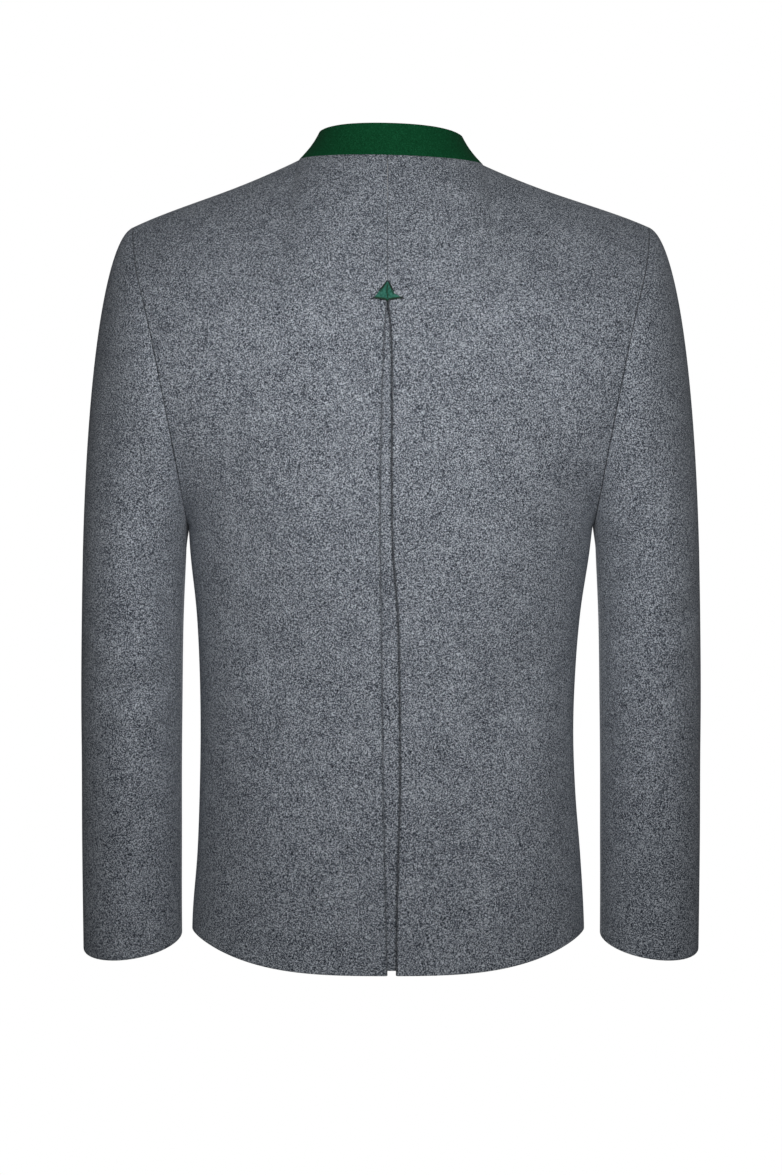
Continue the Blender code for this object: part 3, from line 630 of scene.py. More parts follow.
def makeCloth(
    name, points, normals, thickness, edges, finish, innerFinish=None, flat=None, paintedShade=None
):
    # points and normals are grids over the outer face; edges says "seam", "free" or "fold" for
    # each of its first and last row, then first and last column
    # paintedShade is painted shade at each grid point, from 0 to 1
    paintedShade = np.zeros(points.shape[:2]) if paintedShade is None else paintedShade
    columnsOf = [points, normals, paintedShade[..., None]] + ([] if flat is None else [flat])
    grid = np.concatenate(columnsOf, axis=-1)
    grid, outerRoll, innerRoll = rolledEdges(grid, thickness, edges)
    facing = unit(grid[..., 3:6])
    outer = grid[..., :3] - outerRoll[..., None] * facing
    inner = grid[..., :3] - (thickness - innerRoll)[..., None] * facing
    vertices = np.concatenate([outer.reshape(-1, 3), inner.reshape(-1, 3)])
    rows, columns = grid.shape[:2]
    faces = shellFaces(rows, columns)
    cornerFacing = np.cross(points[0, 1] - points[0, 0], points[1, 0] - points[0, 0])
    if np.sum(cornerFacing * normals[0, 0]) < 0:
        faces = faces[:, ::-1]
    mesh = bpy.data.meshes.new(name)
    mesh.from_pydata(vertices.tolist(), [], faces.tolist())
    run = np.linalg.norm(np.diff(grid[..., :3], axis=1), axis=-1)
    rise = np.linalg.norm(np.diff(grid[..., :3], axis=0), axis=-1)
    across = np.concatenate([np.zeros((rows, 1)), np.cumsum(run, axis=1)], axis=1)
    up = np.concatenate([np.zeros((1, columns)), np.cumsum(rise, axis=0)], axis=0)
    laid = np.stack([across, up], axis=-1) if flat is None else grid[..., shadeColumn + 1 :]
    laid = np.tile(laid.reshape(-1, 2), (2, 1))
    layer = mesh.uv_layers.new(name="cloth")  # metres across and up the piece
    layer.data.foreach_set("uv", laid[faces.reshape(-1)].astype(np.float32).reshape(-1))
    # each piece is cut from its own place in the cloth
    places = mesh.attributes.new("clothPlace", "FLOAT_VECTOR", "POINT")
    shifted = vertices + np.array([3.1, 1.7, 5.3]) * (sum(map(ord, name)) % 17) * 0.1
    places.data.foreach_set("vector", shifted.astype(np.float32).reshape(-1))
    # the painted shade goes on the mesh as a point attribute
    shadeLayer = mesh.attributes.new("paintedShade", "FLOAT", "POINT")
    dark = np.tile(grid[..., shadeColumn].reshape(-1), 2)
    shadeLayer.data.foreach_set("value", dark.astype(np.float32))
    mesh.materials.append(finish)
    if innerFinish:
        mesh.materials.append(innerFinish)
        slots = np.zeros(len(faces), np.int32)
        onFace = (rows - 1) * (columns - 1)
        slots[onFace : 2 * onFace] = 1
        mesh.polygons.foreach_set("material_index", slots)
    mesh.shade_smooth()
    mesh.update()
    piece = bpy.data.objects.new(name, mesh)
    bpy.context.scene.collection.objects.link(piece)
    patches = np.cross(np.diff(grid[:-1, :, :3], axis=1), np.diff(grid[:, :-1, :3], axis=0))
    area = np.linalg.norm(patches, axis=-1).sum()
    width, length = across[:, -1].max(), up[-1].max()
    print(f"{name}: {2 * len(faces)} triangles, {width:.3f} x {length:.3f} m, {area:.4f} m2")
    return piece


def finishPiece(piece, nodes):
    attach(piece, "root")
    if nodes:
        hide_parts(*nodes)
    return piece


# Materials


def toLinear(hexColour):
    channels = [int(hexColour[i : i + 2], 16) / 255 for i in (1, 3, 5)]
    return [c / 12.92 if c <= 0.04045 else ((c + 0.055) / 1.055) ** 2.4 for c in channels] + [1.0]


def addNode(tree, kind, settings=None, values=None, links=None):
    node = tree.nodes.new(kind)
    for name, value in (settings or {}).items():
        setattr(node, name, value)
    for name, value in (values or {}).items():
        node.inputs[name].default_value = value
    for name, socket in (links or {}).items():
        tree.links.new(socket, node.inputs[name])
    return node


def addNoise(tree, place, sizeMm, **values):
    values = {"Scale": 1000 / sizeMm} | values
    return addNode(tree, "ShaderNodeTexNoise", values=values, links={"Vector": place}).outputs["Fac"]


def addMath(tree, operation, values=None, links=None):
    return addNode(tree, "ShaderNodeMath", {"operation": operation}, values, links).outputs["Value"]


def newMaterial(name):
    made = bpy.data.materials.new(name)
    made.use_nodes = True
    tree = made.node_tree
    tree.nodes.clear()
    return made, tree


def addRamp(tree, factor, stops):
    ramp = addNode(tree, "ShaderNodeValToRGB", links={"Fac": factor})
    while len(ramp.color_ramp.elements) < len(stops):
        ramp.color_ramp.elements.new(0.5)
    for element, (place, colour) in zip(ramp.color_ramp.elements, stops):
        element.position = place
        element.color = toLinear(colour)
    return ramp.outputs["Color"]


def closeMaterial(tree, colour, height, values, bump):
    # a shader for the colour and a bump for the height, and the output
    relief = addNode(tree, "ShaderNodeBump", values=bump, links={"Height": height})
    shader = addNode(
        tree,
        "ShaderNodeBsdfPrincipled",
        values=values,
        links={"Base Color": colour, "Normal": relief.outputs["Normal"]},
    )
    addNode(tree, "ShaderNodeOutputMaterial", links={"Surface": shader.outputs["BSDF"]})


loden = {
    "darkFibre": "#1e2129",
    "midFibre": "#646c78",
    "paleFibre": "#d6dce4",
    "dark": 0.415,  # levels of the mixed wool at which each fibre shows pure
    "mid": 0.50,
    "pale": 0.585,
    "sheen": "#cfd6e0",
    # how much the painted shade darkens the wool where it is full
    "paintedShadeStrength": 0.75,
    "speckMm": 1.0,  # a tuft of one colour of wool
    "hairMm": 0.7,
    "hairShare": 0.42,
    "patchMm": 22.0,  # broad, faint unevenness of the milling
    "patchStrength": 0.05,
}


def lodenMaterial():
    # loden: milled and raised wool melange, matt, with specks of dark and pale fibre
    made, tree = newMaterial("loden_wool_melange")
    place = addNode(tree, "ShaderNodeAttribute", {"attribute_name": "clothPlace"}).outputs["Vector"]
    speck = addNoise(tree, place, loden["speckMm"], Detail=1.5, Roughness=0.55, Distortion=0.6)
    hair = addNoise(tree, place, loden["hairMm"], Detail=1.0, Roughness=0.5, Distortion=1.6)
    patch = addNoise(tree, place, loden["patchMm"], Detail=2.0)
    share, wools = {"Factor": loden["hairShare"]}, {"A": speck, "B": hair}
    mixed = addNode(tree, "ShaderNodeMix", {"data_type": "FLOAT"}, share, wools).outputs["Result"]
    strength = loden["patchStrength"]
    uneven = addMath(tree, "MULTIPLY_ADD", {1: strength, 2: -strength / 2}, {0: patch})
    level = addMath(tree, "ADD", links={0: mixed, 1: uneven})
    fibres = (("dark", "darkFibre"), ("mid", "midFibre"), ("pale", "paleFibre"))
    colour = addRamp(tree, level, [(loden[at], loden[fibre]) for at, fibre in fibres])
    # painted shade: the wool's colour is darkened along seams, pleat folds and the front edge, in place
    # of their shadows
    paintedShade = addNode(tree, "ShaderNodeAttribute", {"attribute_name": "paintedShade"}).outputs["Fac"]
    shade = addMath(tree, "MULTIPLY_ADD", {1: -loden["paintedShadeStrength"], 2: 1.0}, {0: paintedShade})
    shadedColour = addNode(tree, "ShaderNodeHueSaturation", links={"Color": colour, "Value": shade})
    finish = {
        "Roughness": 0.95,
        "Sheen Weight": 0.25,
        "Sheen Roughness": 0.5,
        "Sheen Tint": toLinear(loden["sheen"]),
        "Specular IOR Level": 0.25,
    }
    closeMaterial(tree, shadedColour.outputs["Color"], mixed, finish, {"Strength": 0.5, "Distance": 0.0006})
    return made


felt = {
    "base": "#0b4f2d",
    "pale": "#206a44",
    "deep": "#073f22",
    "sheen": "#7fb895",
    "fuzzMm": 0.9,
}


def feltMaterial():
    # wool felt: fibres pressed with no weave, a flat deep green with faint fuzz
    made, tree = newMaterial("green_wool_felt")
    place = addNode(tree, "ShaderNodeTexCoord").outputs["Object"]
    fuzz = addNoise(tree, place, felt["fuzzMm"], Detail=2.0, Distortion=1.0)
    stops = [(0.30, felt["deep"]), (0.52, felt["base"]), (0.74, felt["pale"])]
    finish = {
        "Roughness": 0.9,
        "Sheen Weight": 0.08,
        "Sheen Roughness": 0.5,
        "Sheen Tint": toLinear(felt["sheen"]),
        "Specular IOR Level": 0.12,
    }
    colour = addRamp(tree, fuzz, stops)
    closeMaterial(tree, colour, fuzz, finish, {"Strength": 0.35, "Distance": 0.0004})
    return made


thread = {"green": "#16402a", "black": "#151a1c", "grey": "#3d434b", "twistMm": 0.35}


def threadMaterial(name, colour):
    # embroidery thread: twisted strands, a little glossy
    made, tree = newMaterial(name)
    place = addNode(tree, "ShaderNodeTexCoord").outputs["Object"]
    twist = addNoise(tree, place, thread["twistMm"], Detail=1.0)
    lift = addMath(tree, "MULTIPLY_ADD", {1: 0.9, 2: 0.55}, {0: twist})
    dye = {"Color": toLinear(colour)}
    shade = addNode(tree, "ShaderNodeHueSaturation", values=dye, links={"Value": lift})
    finish = {"Roughness": 0.6, "Sheen Weight": 0.1, "Specular IOR Level": 0.35}
    bump = {"Strength": 0.4, "Distance": 0.0002}
    closeMaterial(tree, shade.outputs["Color"], twist, finish, bump)
    return made


satin = {"base": "#2f7463", "pale": "#4b8f7d", "deep": "#1f5a49", "threads": 22, "unevenMm": 2.2}


def satinMaterial():
    # wool thread laid side by side in satin stitch
    made, tree = newMaterial("teal_wool_satin_stitch")
    laid = addNode(tree, "ShaderNodeUVMap", {"uv_map": "cloth"}).outputs["UV"]
    along = addNode(tree, "ShaderNodeSeparateXYZ", links={"Vector": laid}).outputs["X"]
    place = addNode(tree, "ShaderNodeTexCoord").outputs["Object"]
    twist = addNoise(tree, place, satin["unevenMm"], Detail=2.0)
    turns = {1: satin["threads"] * math.pi * 2}
    shift = addMath(tree, "MULTIPLY_ADD", turns, {0: along, 2: twist})
    wave = addMath(tree, "SINE", links={0: shift})
    # painted shade: the colour is darker where the thread wave is low, in the grooves between threads,
    # besides the random unevenness
    level = addMath(tree, "MULTIPLY_ADD", {1: 0.10}, {0: wave, 2: twist})
    stops = [(0.28, satin["deep"]), (0.5, satin["base"]), (0.70, satin["pale"])]
    finish = {
        "Roughness": 0.7,
        "Sheen Weight": 0.2,
        "Sheen Roughness": 0.4,
        "Specular IOR Level": 0.3,
    }
    colour = addRamp(tree, level, stops)
    closeMaterial(tree, colour, wave, finish, {"Strength": 0.5, "Distance": 0.0002})
    return made


horn = {"base": "#6b4a2f", "dark": "#2c1b10", "pale": "#a98257", "streakMm": 7.0}


def hornMaterial():
    # horn: sawn, turned and polished, streaked brown
    made, tree = newMaterial("polished_horn")
    place = addNode(tree, "ShaderNodeTexCoord").outputs["Object"]
    grain = {"Rotation": (0.0, 0.6, 0.0), "Scale": (1.0, 1.0, 0.28)}
    turned = addNode(tree, "ShaderNodeMapping", values=grain, links={"Vector": place})
    streak = addNoise(tree, turned.outputs["Vector"], horn["streakMm"], Detail=5.0, Distortion=0.8)
    stops = [(0.34, horn["dark"]), (0.5, horn["base"]), (0.68, horn["pale"])]
    finish = {"Roughness": 0.32, "IOR": 1.54, "Coat Weight": 0.3, "Coat Roughness": 0.2}
    colour = addRamp(tree, streak, stops)
    closeMaterial(tree, colour, streak, finish, {"Strength": 0.1, "Distance": 0.0002})
    return made


lodenWool = lodenMaterial()
greenFelt = feltMaterial()
tealSatin = satinMaterial()
greenThread = threadMaterial("dark_green_thread", thread["green"])
# black thread for the arrow, also used as painted shadow in the buttonhole slits
blackThreadAndSlitShade = threadMaterial("black_green_thread_and_slit_shade", thread["black"])
greyThread = threadMaterial("grey_silk_thread", thread["grey"])
polishedHorn = hornMaterial()
print("materials made")

# Body and sleeves
bodyCut = {
    "columns": 64,
    "hemToUnderarm": 84,
    "underarmToYoke": 40,
    "yokeToTop": 40,
    "frontEdgeColumns": [0.004, 0.008, 0.190, 0.194, 0.197, 0.202, 0.204, 0.207, 0.210],
    "backSheet": {"flat": (0.285, 0.755), "held": "hung", "area": 0.180},
    "frontSheet": {"flat": (0.315, 0.745), "held": "hung", "area": 0.170},
}


def panelGrid(face):
    count = bodyCut["columns"]
    first = [] if face > 0 else list(np.linspace(0, overlap["flap"], 9)[:-1])
    start = 0 if face > 0 else overlap["flap"]
    us = np.concatenate([first, start + (1 - start) * np.linspace(0, 1, count)])
    if face < 0:
        us = np.union1d(us, bodyCut["frontEdgeColumns"])
    low = np.linspace(0, 1, bodyCut["hemToUnderarm"])[:-1]
    middle = np.linspace(1, 2, bodyCut["underarmToYoke"])[:-1]
    high = np.linspace(2, 3, bodyCut["yokeToTop"])
    return np.meshgrid(us, np.concatenate([low, middle, high]))


def makeBack(name, side, node):
    u, v = panelGrid(1)
    points, normals = bodyPoints(side, 1, u, v)
    normals = gridNormals(points, normals)
    shareSeam(side, 1, u, normals)
    edge, normal = points[:, 0], normals[:, 0]
    inward = unit(edge - points[:, 1])
    inward = unit(inward - (inward * normal).sum(-1, keepdims=True) * normal)
    radius = pleat["foldRadius"]
    corner = foldCorner(edge[:, 2])[:, None]
    deep = np.where(edge[:, 2] < pleat["top"], pleat["underFold"], pleat["seamAllowance"])[:, None]
    under = edge - 2 * radius * normal
    folded = [under - deep * share * inward for share in (1, 0.75, 0.5, 0.25)]
    foldedNormals = [-normal] * 4
    # painted shade: full on the cloth folded under, and on the fold's turn, fading out over the last 50
    # degrees towards the outer face
    paintedShade = [np.ones(len(edge))] * 4
    for degrees in pleat["foldDegrees"]:
        angle = math.radians(degrees)
        facing = normal * math.cos(angle) + inward * math.sin(angle)
        depth = corner if degrees < 90 else 2 * radius - corner
        folded.append(edge - depth * normal + corner * facing)
        foldedNormals.append(facing)
        paintedShade.append(np.full(len(edge), pleat["foldEdgeShade"][side] * min(1, degrees / 50)))
    paintedShade = np.concatenate([np.stack(paintedShade, axis=1), np.zeros(u.shape)], axis=1)
    points = np.concatenate([np.stack(folded, axis=1), points], axis=1)
    normals = np.concatenate([np.stack(foldedNormals, axis=1), normals], axis=1)
    edges = ("free", "seam", "fold", "seam")
    made = makeCloth(name, points, normals, cloth["thickness"], edges, lodenWool, paintedShade=paintedShade)
    return finishPiece(made, [node])


def makeFront(name, side, node):
    u, v = panelGrid(-1)
    points, normals = bodyPoints(side, -1, u, v)
    normals = gridNormals(points, normals)
    shareSeam(side, -1, u, normals)
    # painted shade along the line of the left front's edge, on both fronts
    edge = np.abs(points[..., 0] + overlap["width"]) * (u < 1)
    paintedShade = overlap["shade"] * np.exp(-((edge / overlap["shadeWidth"]) ** 2))
    if side < 0:  # the right front passes under the left
        fade = smoothStep((overlap["fade"] + points[..., 0]) / (overlap["fade"] - overlap["width"]))
        fade = np.where(u <= overlap["flap"], 1, fade)
        points = points - ((cloth["thickness"] + cloth["seamGap"]) * fade)[..., None] * normals
    edges = ("free", "seam", "free", "seam")
    made = makeCloth(name, points, normals, cloth["thickness"], edges, lodenWool, paintedShade=paintedShade)
    return finishPiece(made, [node])


sleevePieces = {
    "columnDegrees": 3.0,
    "capRows": 36,
    "lowerRows": 84,
    "topSheet": {"flat": (0.300, 0.655), "held": "hung", "area": 0.151},
    "underSheet": {"flat": (0.095, 0.435), "held": "hung", "area": 0.0275},
}


def makeSleevePiece(name, side, first, last, node):
    turns = np.linspace(first, last, round((last - first) / sleevePieces["columnDegrees"]) + 1)
    caps = np.linspace(0, 1, sleevePieces["capRows"])[:-1] ** 1.3
    below = np.linspace(1, 2, sleevePieces["lowerRows"])
    turn, v = np.meshgrid(turns, np.concatenate([caps, below]))
    points, normals = sleevePoints(side, turn, v)
    normals = gridNormals(points, normals)
    edges = ("seam", "free", "seam", "seam")
    made = makeCloth(name, points, normals, cloth["thickness"], edges, lodenWool)
    return finishPiece(made, [node])


for side, word in ((1, "left"), (-1, "right")):
    makeBack(f"{word}_back", side, f"back_{word}")
    makeFront(f"{word}_front", side, f"front_{word}")
    fore, hind = sleeveCut["foreSeam"], sleeveCut["hindSeam"]
    makeSleevePiece(f"{word}_top_sleeve", side, fore - 360, hind, f"top_sleeve_{word}")
    makeSleevePiece(f"{word}_under_sleeve", side, hind, fore, f"under_sleeve_{word}")
print("body and sleeves made")

# Pleat underlay
underlay = {
    "rows": 110,
    "columns": 91,
    "sheet": {
        "flat": (0.080, 0.580),
        "held": "hung",
        "area": 0.0435,
        "rests_on": ["left_back", "right_back"],
    },
}


def makeUnderlay():
    levels = np.linspace(hem["back"] + pleat["underlayRise"], pleat["top"], underlay["rows"])
    share, z = np.meshgrid(np.linspace(0, 1, underlay["columns"]), levels)
    left = pleatEdgeAt[1](z) + pleat["underFold"]
    right = pleatEdgeAt[-1](z) - pleat["underFold"]
    points, normals = backAt(right + share * (left - right), z)
    points = points - (2 * pleat["foldRadius"] + pleat["gap"]) * normals
    paintedShade = np.zeros(z.shape)
    # painted shadow from each fold's edge falling on the underlay beside it
    for side in (1, -1):
        inside = np.maximum((pleatEdgeAt[side](z) - points[..., 0]) * side, 0)
        paintedShade += pleat["shade"][side] * np.exp(-((inside / pleat["shadeWidth"]) ** 2))
    edges = ("free", "free", "free", "free")
    made = makeCloth(
        "pleat_strip", points, normals, cloth["thickness"], edges, lodenWool, paintedShade=paintedShade
    )
    return finishPiece(made, ["pleat_underlay"])


makeUnderlay()
print("pleat underlay made")

# Collar
collarCut = {
    "heightBack": 0.0298,
    "heightFront": 0.028,
    "sideHeight": 0.0025,  # more at its sides
    "lean": 14.0,  # degrees towards the neck
    "sideLean": 22.0,
    "hollow": 0.0012,
    "sideHollow": 0.0005,
    "endGap": 0.005,  # from the centre front to each end
    "corner": 0.014,
    "cornerRound": 0.98,
    "closerAtEnds": 0.045,  # of the columns
    "tuck": 0.004,  # runs down inside the neck seam
    "tuckIn": 0.0008,
    "columns": 260,
    "rows": 26,
    "sheet": {
        "flat": (0.480, 0.036),
        "held": "laid",
        "area": 0.0149,
        "rests_on": ["left_back", "right_back", "left_front", "right_front"],
    },
}


def collarPoint(turn, k):  # turn is 0 at the centre back and +-180 at the centre front
    turn, k = np.broadcast_arrays(np.asarray(turn, float), np.asarray(k, float))
    angle = np.radians(turn)
    ahead = (1 - np.cos(angle)) / 2
    behind = (np.abs(angle) <= math.pi / 2)[..., None]
    base = np.where(behind, neckPoint(1, 1, angle), neckPoint(1, -1, math.pi - angle))
    sideways = np.sin(angle) ** 2
    height = collarCut["heightBack"] + (collarCut["heightFront"] - collarCut["heightBack"]) * ahead
    height = height + collarCut["sideHeight"] * sideways
    inward = unit(stack(-np.sin(angle), -np.cos(angle), 0 * angle))
    lean = np.radians(collarCut["lean"] + collarCut["sideLean"] * sideways)
    rise = inward * np.sin(lean)[..., None] + stack(0 * angle, 0 * angle, np.cos(lean))
    hollow = collarCut["hollow"] + collarCut["sideHollow"] * sideways
    hollow = hollow * np.sin(math.pi * np.clip(k, 0, 1))
    return base + rise * (height * k)[..., None] + inward * hollow[..., None]


def makeCollar():
    end = 180 - math.degrees(math.asin(collarCut["endGap"] / neck["halfWidth"]))
    even = np.linspace(-1, 1, collarCut["columns"])
    turns = end * (even - collarCut["closerAtEnds"] * np.sin(math.pi * even))
    turn, k = np.meshgrid(turns[::-1], np.linspace(0, 1, collarCut["rows"]))
    along = np.radians(end - np.abs(turn)) * neck["halfWidth"]
    left = np.clip(1 - along / collarCut["corner"], 0, 1)
    rounded = 1 - np.sqrt(1 - left**2 * collarCut["cornerRound"])
    cut = collarCut["corner"] / collarCut["heightFront"] * rounded
    points = collarPoint(turn, k * (1 - cut))
    tuck = points[:1] + collarCut["tuckIn"] * unit(points[:1] * np.array([-1, -1, 0]))
    tuck = tuck - np.array([0, 0, collarCut["tuck"]])
    points = np.concatenate([tuck, points])
    normals = gridNormals(points, points * np.array([1, 1, 0]))
    normals[0] = normals[2]
    normals[1] = normals[2]
    edges = ("seam", "free", "free", "free")
    thickness = cloth["collarThickness"]
    made = makeCloth("collar_band", points, normals, thickness, edges, greenFelt, lodenWool)
    return finishPiece(made, ["collar"])


makeCollar()
print("collar made")

# Laid stitches: threads along a path of edges, each standing on the surface that "out" faces
stitchInputs = (
    ("Spacing", "NodeSocketFloat"),
    ("Length", "NodeSocketFloat"),
    ("Width", "NodeSocketFloat"),
    ("Height", "NodeSocketFloat"),
    ("Turn", "NodeSocketFloat"),
    ("Unevenness", "NodeSocketFloat"),
    ("Seed", "NodeSocketInt"),
    ("Thread", "NodeSocketMaterial"),
)


def stitchGroup():
    tree = bpy.data.node_groups.new("laid_stitches", "GeometryNodeTree")
    tree.interface.new_socket("Path", in_out="INPUT", socket_type="NodeSocketGeometry")
    for name, kind in stitchInputs:
        tree.interface.new_socket(name, in_out="INPUT", socket_type=kind)
    tree.interface.new_socket("Stitches", in_out="OUTPUT", socket_type="NodeSocketGeometry")
    given = addNode(tree, "NodeGroupInput").outputs
    line = addNode(tree, "GeometryNodeMeshToCurve", links={"Mesh": given["Path"]})
    spaced = {"Curve": line.outputs[0], "Length": given["Spacing"]}
    steps = addNode(tree, "GeometryNodeResampleCurve", {"mode": "LENGTH"}, links=spaced)
    # each thread stands on the surface and lies along the path, turned by its own angle
    vector, stored = {"data_type": "FLOAT_VECTOR"}, {"Name": "out"}
    out = addNode(tree, "GeometryNodeInputNamedAttribute", vector, stored)
    upwards = {"Vector": out.outputs["Attribute"]}
    stand = addNode(tree, "FunctionNodeAlignRotationToVector", {"axis": "Z"}, links=upwards)
    tangent = addNode(tree, "GeometryNodeInputTangent")
    onwards = {"Rotation": stand.outputs["Rotation"], "Vector": tangent.outputs[0]}
    axes = {"axis": "X", "pivot_axis": "Z"}
    lie = addNode(tree, "FunctionNodeAlignRotationToVector", axes, links=onwards)
    lowest = addMath(tree, "MULTIPLY", {1: -1.0}, {0: given["Unevenness"]})
    drawn = {2: lowest, 3: given["Unevenness"], "Seed": given["Seed"]}
    chance = addNode(tree, "FunctionNodeRandomValue", {"data_type": "FLOAT"}, links=drawn).outputs[1]
    turned = addMath(tree, "ADD", links={0: given["Turn"], 1: chance})
    upright = {"Axis": (0, 0, 1)}
    about = addNode(tree, "FunctionNodeAxisAngleToRotation", values=upright, links={"Angle": turned})
    both = {"Rotation": lie.outputs["Rotation"], "Rotate By": about.outputs["Rotation"]}
    way = addNode(tree, "FunctionNodeRotateRotation", {"rotation_space": "LOCAL"}, links=both)
    longer = addMath(tree, "ADD", {1: 1.0}, {0: chance})
    length = addMath(tree, "MULTIPLY", links={0: given["Length"], 1: longer})
    sizes = {"X": length, "Y": given["Width"], "Z": given["Height"]}
    size = addNode(tree, "ShaderNodeCombineXYZ", links=sizes)
    beadForm = {"Segments": 8, "Rings": 5, "Radius": 0.5}
    bead = addNode(tree, "GeometryNodeMeshUVSphere", values=beadForm)
    laid = {
        "Points": steps.outputs[0],
        "Instance": bead.outputs["Mesh"],
        "Rotation": way.outputs["Rotation"],
        "Scale": size.outputs[0],
    }
    placed = addNode(tree, "GeometryNodeInstanceOnPoints", links=laid)
    real = addNode(tree, "GeometryNodeRealizeInstances", links={"Geometry": placed.outputs[0]})
    smooth = addNode(tree, "GeometryNodeSetShadeSmooth", links={"Geometry": real.outputs[0]})
    finish = {"Geometry": smooth.outputs[0], "Material": given["Thread"]}
    dyed = addNode(tree, "GeometryNodeSetMaterial", links=finish)
    addNode(tree, "NodeGroupOutput", links={"Stitches": dyed.outputs[0]})
    return tree


laidStitches = stitchGroup()


def evaluatedMesh(piece):
    bpy.context.view_layer.update()
    seen = piece.evaluated_get(bpy.context.evaluated_depsgraph_get())
    return bpy.data.meshes.new_from_object(seen)


def makeStitches(name, lines, slotName, **inputs):
    # lines are pairs of points and the directions they face
    points = np.concatenate([line[0] for line in lines])
    facing = np.concatenate([line[1] for line in lines])
    starts = np.cumsum([0] + [len(line[0]) for line in lines])
    edges = [(i, i + 1) for a, b in zip(starts[:-1], starts[1:]) for i in range(a, b - 1)]
    mesh = bpy.data.meshes.new(name)
    mesh.from_pydata(points.tolist(), edges, [])
    out = mesh.attributes.new("out", "FLOAT_VECTOR", "POINT")
    out.data.foreach_set("vector", facing.astype(np.float32).reshape(-1))
    piece = bpy.data.objects.new(name, mesh)
    bpy.context.scene.collection.objects.link(piece)
    modifier = piece.modifiers.new("stitches", "NODES")
    modifier.node_group = laidStitches
    for socket in laidStitches.interface.items_tree:
        if socket.name in inputs:
            modifier[socket.identifier] = inputs[socket.name]
    piece.data = evaluatedMesh(piece)
    piece.modifiers.clear()
    bpy.data.meshes.remove(mesh)
    print(f"{name}: {sum(len(p.vertices) - 2 for p in piece.data.polygons)} triangles")
    return finishPiece(piece, [])


# Arrow at the head of the pleat, worked in wool thread
ArrowEdge = namedtuple("ArrowEdge", "down left right")  # from its point, left is the wearer's
arrowTable = [
    ArrowEdge(0.0000, 0.0006, 0.0007),
    ArrowEdge(0.0040, 0.0037, 0.0029),
    ArrowEdge(0.0080, 0.0070, 0.0048),
    ArrowEdge(0.0105, 0.0087, 0.0062),
    ArrowEdge(0.0122, 0.0101, 0.0086),
    ArrowEdge(0.0135, 0.0114, 0.0109),
    ArrowEdge(0.0148, 0.0126, 0.0127),
]
arrow = {
    "x": 0.0030,
    "top": -0.1155,
    "baseDip": 0.0010,  # the base hangs lower in the middle
    "baseTurnUp": 0.0006,  # and turns up at its ends
    "raised": 0.0011,
    "threadRaised": 0.0012,
    "rows": 28,
    "columns": 40,
    "sheet": {
        "flat": (0.026, 0.017),
        "held": "laid",
        "area": 0.00021,
        "rests_on": ["left_back", "right_back"],
    },
}
# metres along, across and above the cloth for one thread
arrowStitches = {
    "outline": {"Spacing": 0.0006, "Length": 0.0017, "Width": 0.0011, "Height": 0.0007},
    "edging": {"Spacing": 0.0010, "Length": 0.0016, "Width": 0.0009, "Height": 0.0007},
    "base": {"Spacing": 0.0014, "Length": 0.0015, "Width": 0.0009, "Height": 0.0007},
    "centre": {"Spacing": 0.0007, "Length": 0.0013, "Width": 0.0012, "Height": 0.0007},
}
arrowLeftAt = curveThrough(arrowTable, "down", "left")
arrowRightAt = curveThrough(arrowTable, "down", "right")


def arrowPoint(share, k, raised):  # share runs from -1, the wearer's right edge, to 1
    down = arrowTable[-1].down * k
    half = np.where(share > 0, arrowLeftAt(down), arrowRightAt(down))
    x = arrow["x"] + share * half
    dip = arrow["baseDip"] * (1 - np.abs(share)) ** 2 * k**3
    dip = dip - arrow["baseTurnUp"] * np.abs(share) * k**3
    points, normals = backAt(x, arrow["top"] - down - dip)
    return points + raised[..., None] * normals, normals


def makeArrow():
    share, k = np.meshgrid(np.linspace(1, -1, arrow["columns"]), np.linspace(1, 0, arrow["rows"]))
    swell = arrow["raised"] * (0.8 + 0.2 * np.sqrt(np.clip(1 - share**2, 0, 1)))
    points, normals = arrowPoint(share, k, swell)
    flat = np.stack([share * 0.5, 1 - k], axis=-1)
    edges = ("free", "free", "free", "free")
    thickness = cloth["patchThickness"]
    made = makeCloth("arrow_fill", points, normals, thickness, edges, tealSatin, flat=flat)
    return finishPiece(made, ["pleat_arrow"])


def arrowLine(shares, ks, raised=arrow["threadRaised"]):
    ks = np.asarray(ks, float)
    return arrowPoint(np.asarray(shares, float) * np.ones_like(ks), ks, np.full_like(ks, raised))


def zigzag(first, last, low, high, teeth):
    shares = np.linspace(first, last, 2 * teeth + 1)
    return shares, np.where(np.arange(2 * teeth + 1) % 2 == 0, low, high)


def makeArrowStitches(part, lines, unevenness, seed, finish):
    sizes = arrowStitches[part] | {"Unevenness": unevenness, "Seed": seed, "Thread": finish}
    makeStitches(f"arrow_{part}", lines, "arrow_green", **sizes)


# shares of the arrow's half width, and of its length from the point down
run = np.linspace(0.0, 1.0, 24)
outlineLines = [
    arrowLine(1.02, 0.56 * run),
    arrowLine(-1.04, 0.54 * run),
    arrowLine(0.90 + 0.20 * run, 0.97 + 0.12 * run),
    arrowLine(-0.90 - 0.20 * run, 0.97 + 0.10 * run),
]
edgingLines = [
    arrowLine(0.80, 0.10 + 0.48 * run),
    arrowLine(-0.78, 0.10 + 0.62 * run),
    arrowLine(*zigzag(0.98, 0.12, 1.02, 0.95, 7)),
    arrowLine(*zigzag(-0.12, -0.98, 0.96, 1.02, 7)),
    arrowLine(*zigzag(0.12, -0.12, 0.98, 1.05, 1)),
]
baseLines = [arrowLine(0.96 - 1.92 * run, 1.04 + 0 * run, 0.0008)]
centreLines = [
    arrowLine(0.03, 0.22 + 0.16 * run),
    arrowLine(0.06, 0.44 + 0.22 * run),
    arrowLine(-0.02, 0.74 + 0.18 * run),
]
makeArrow()
makeArrowStitches("outline", outlineLines, 0.12, 3, blackThreadAndSlitShade)
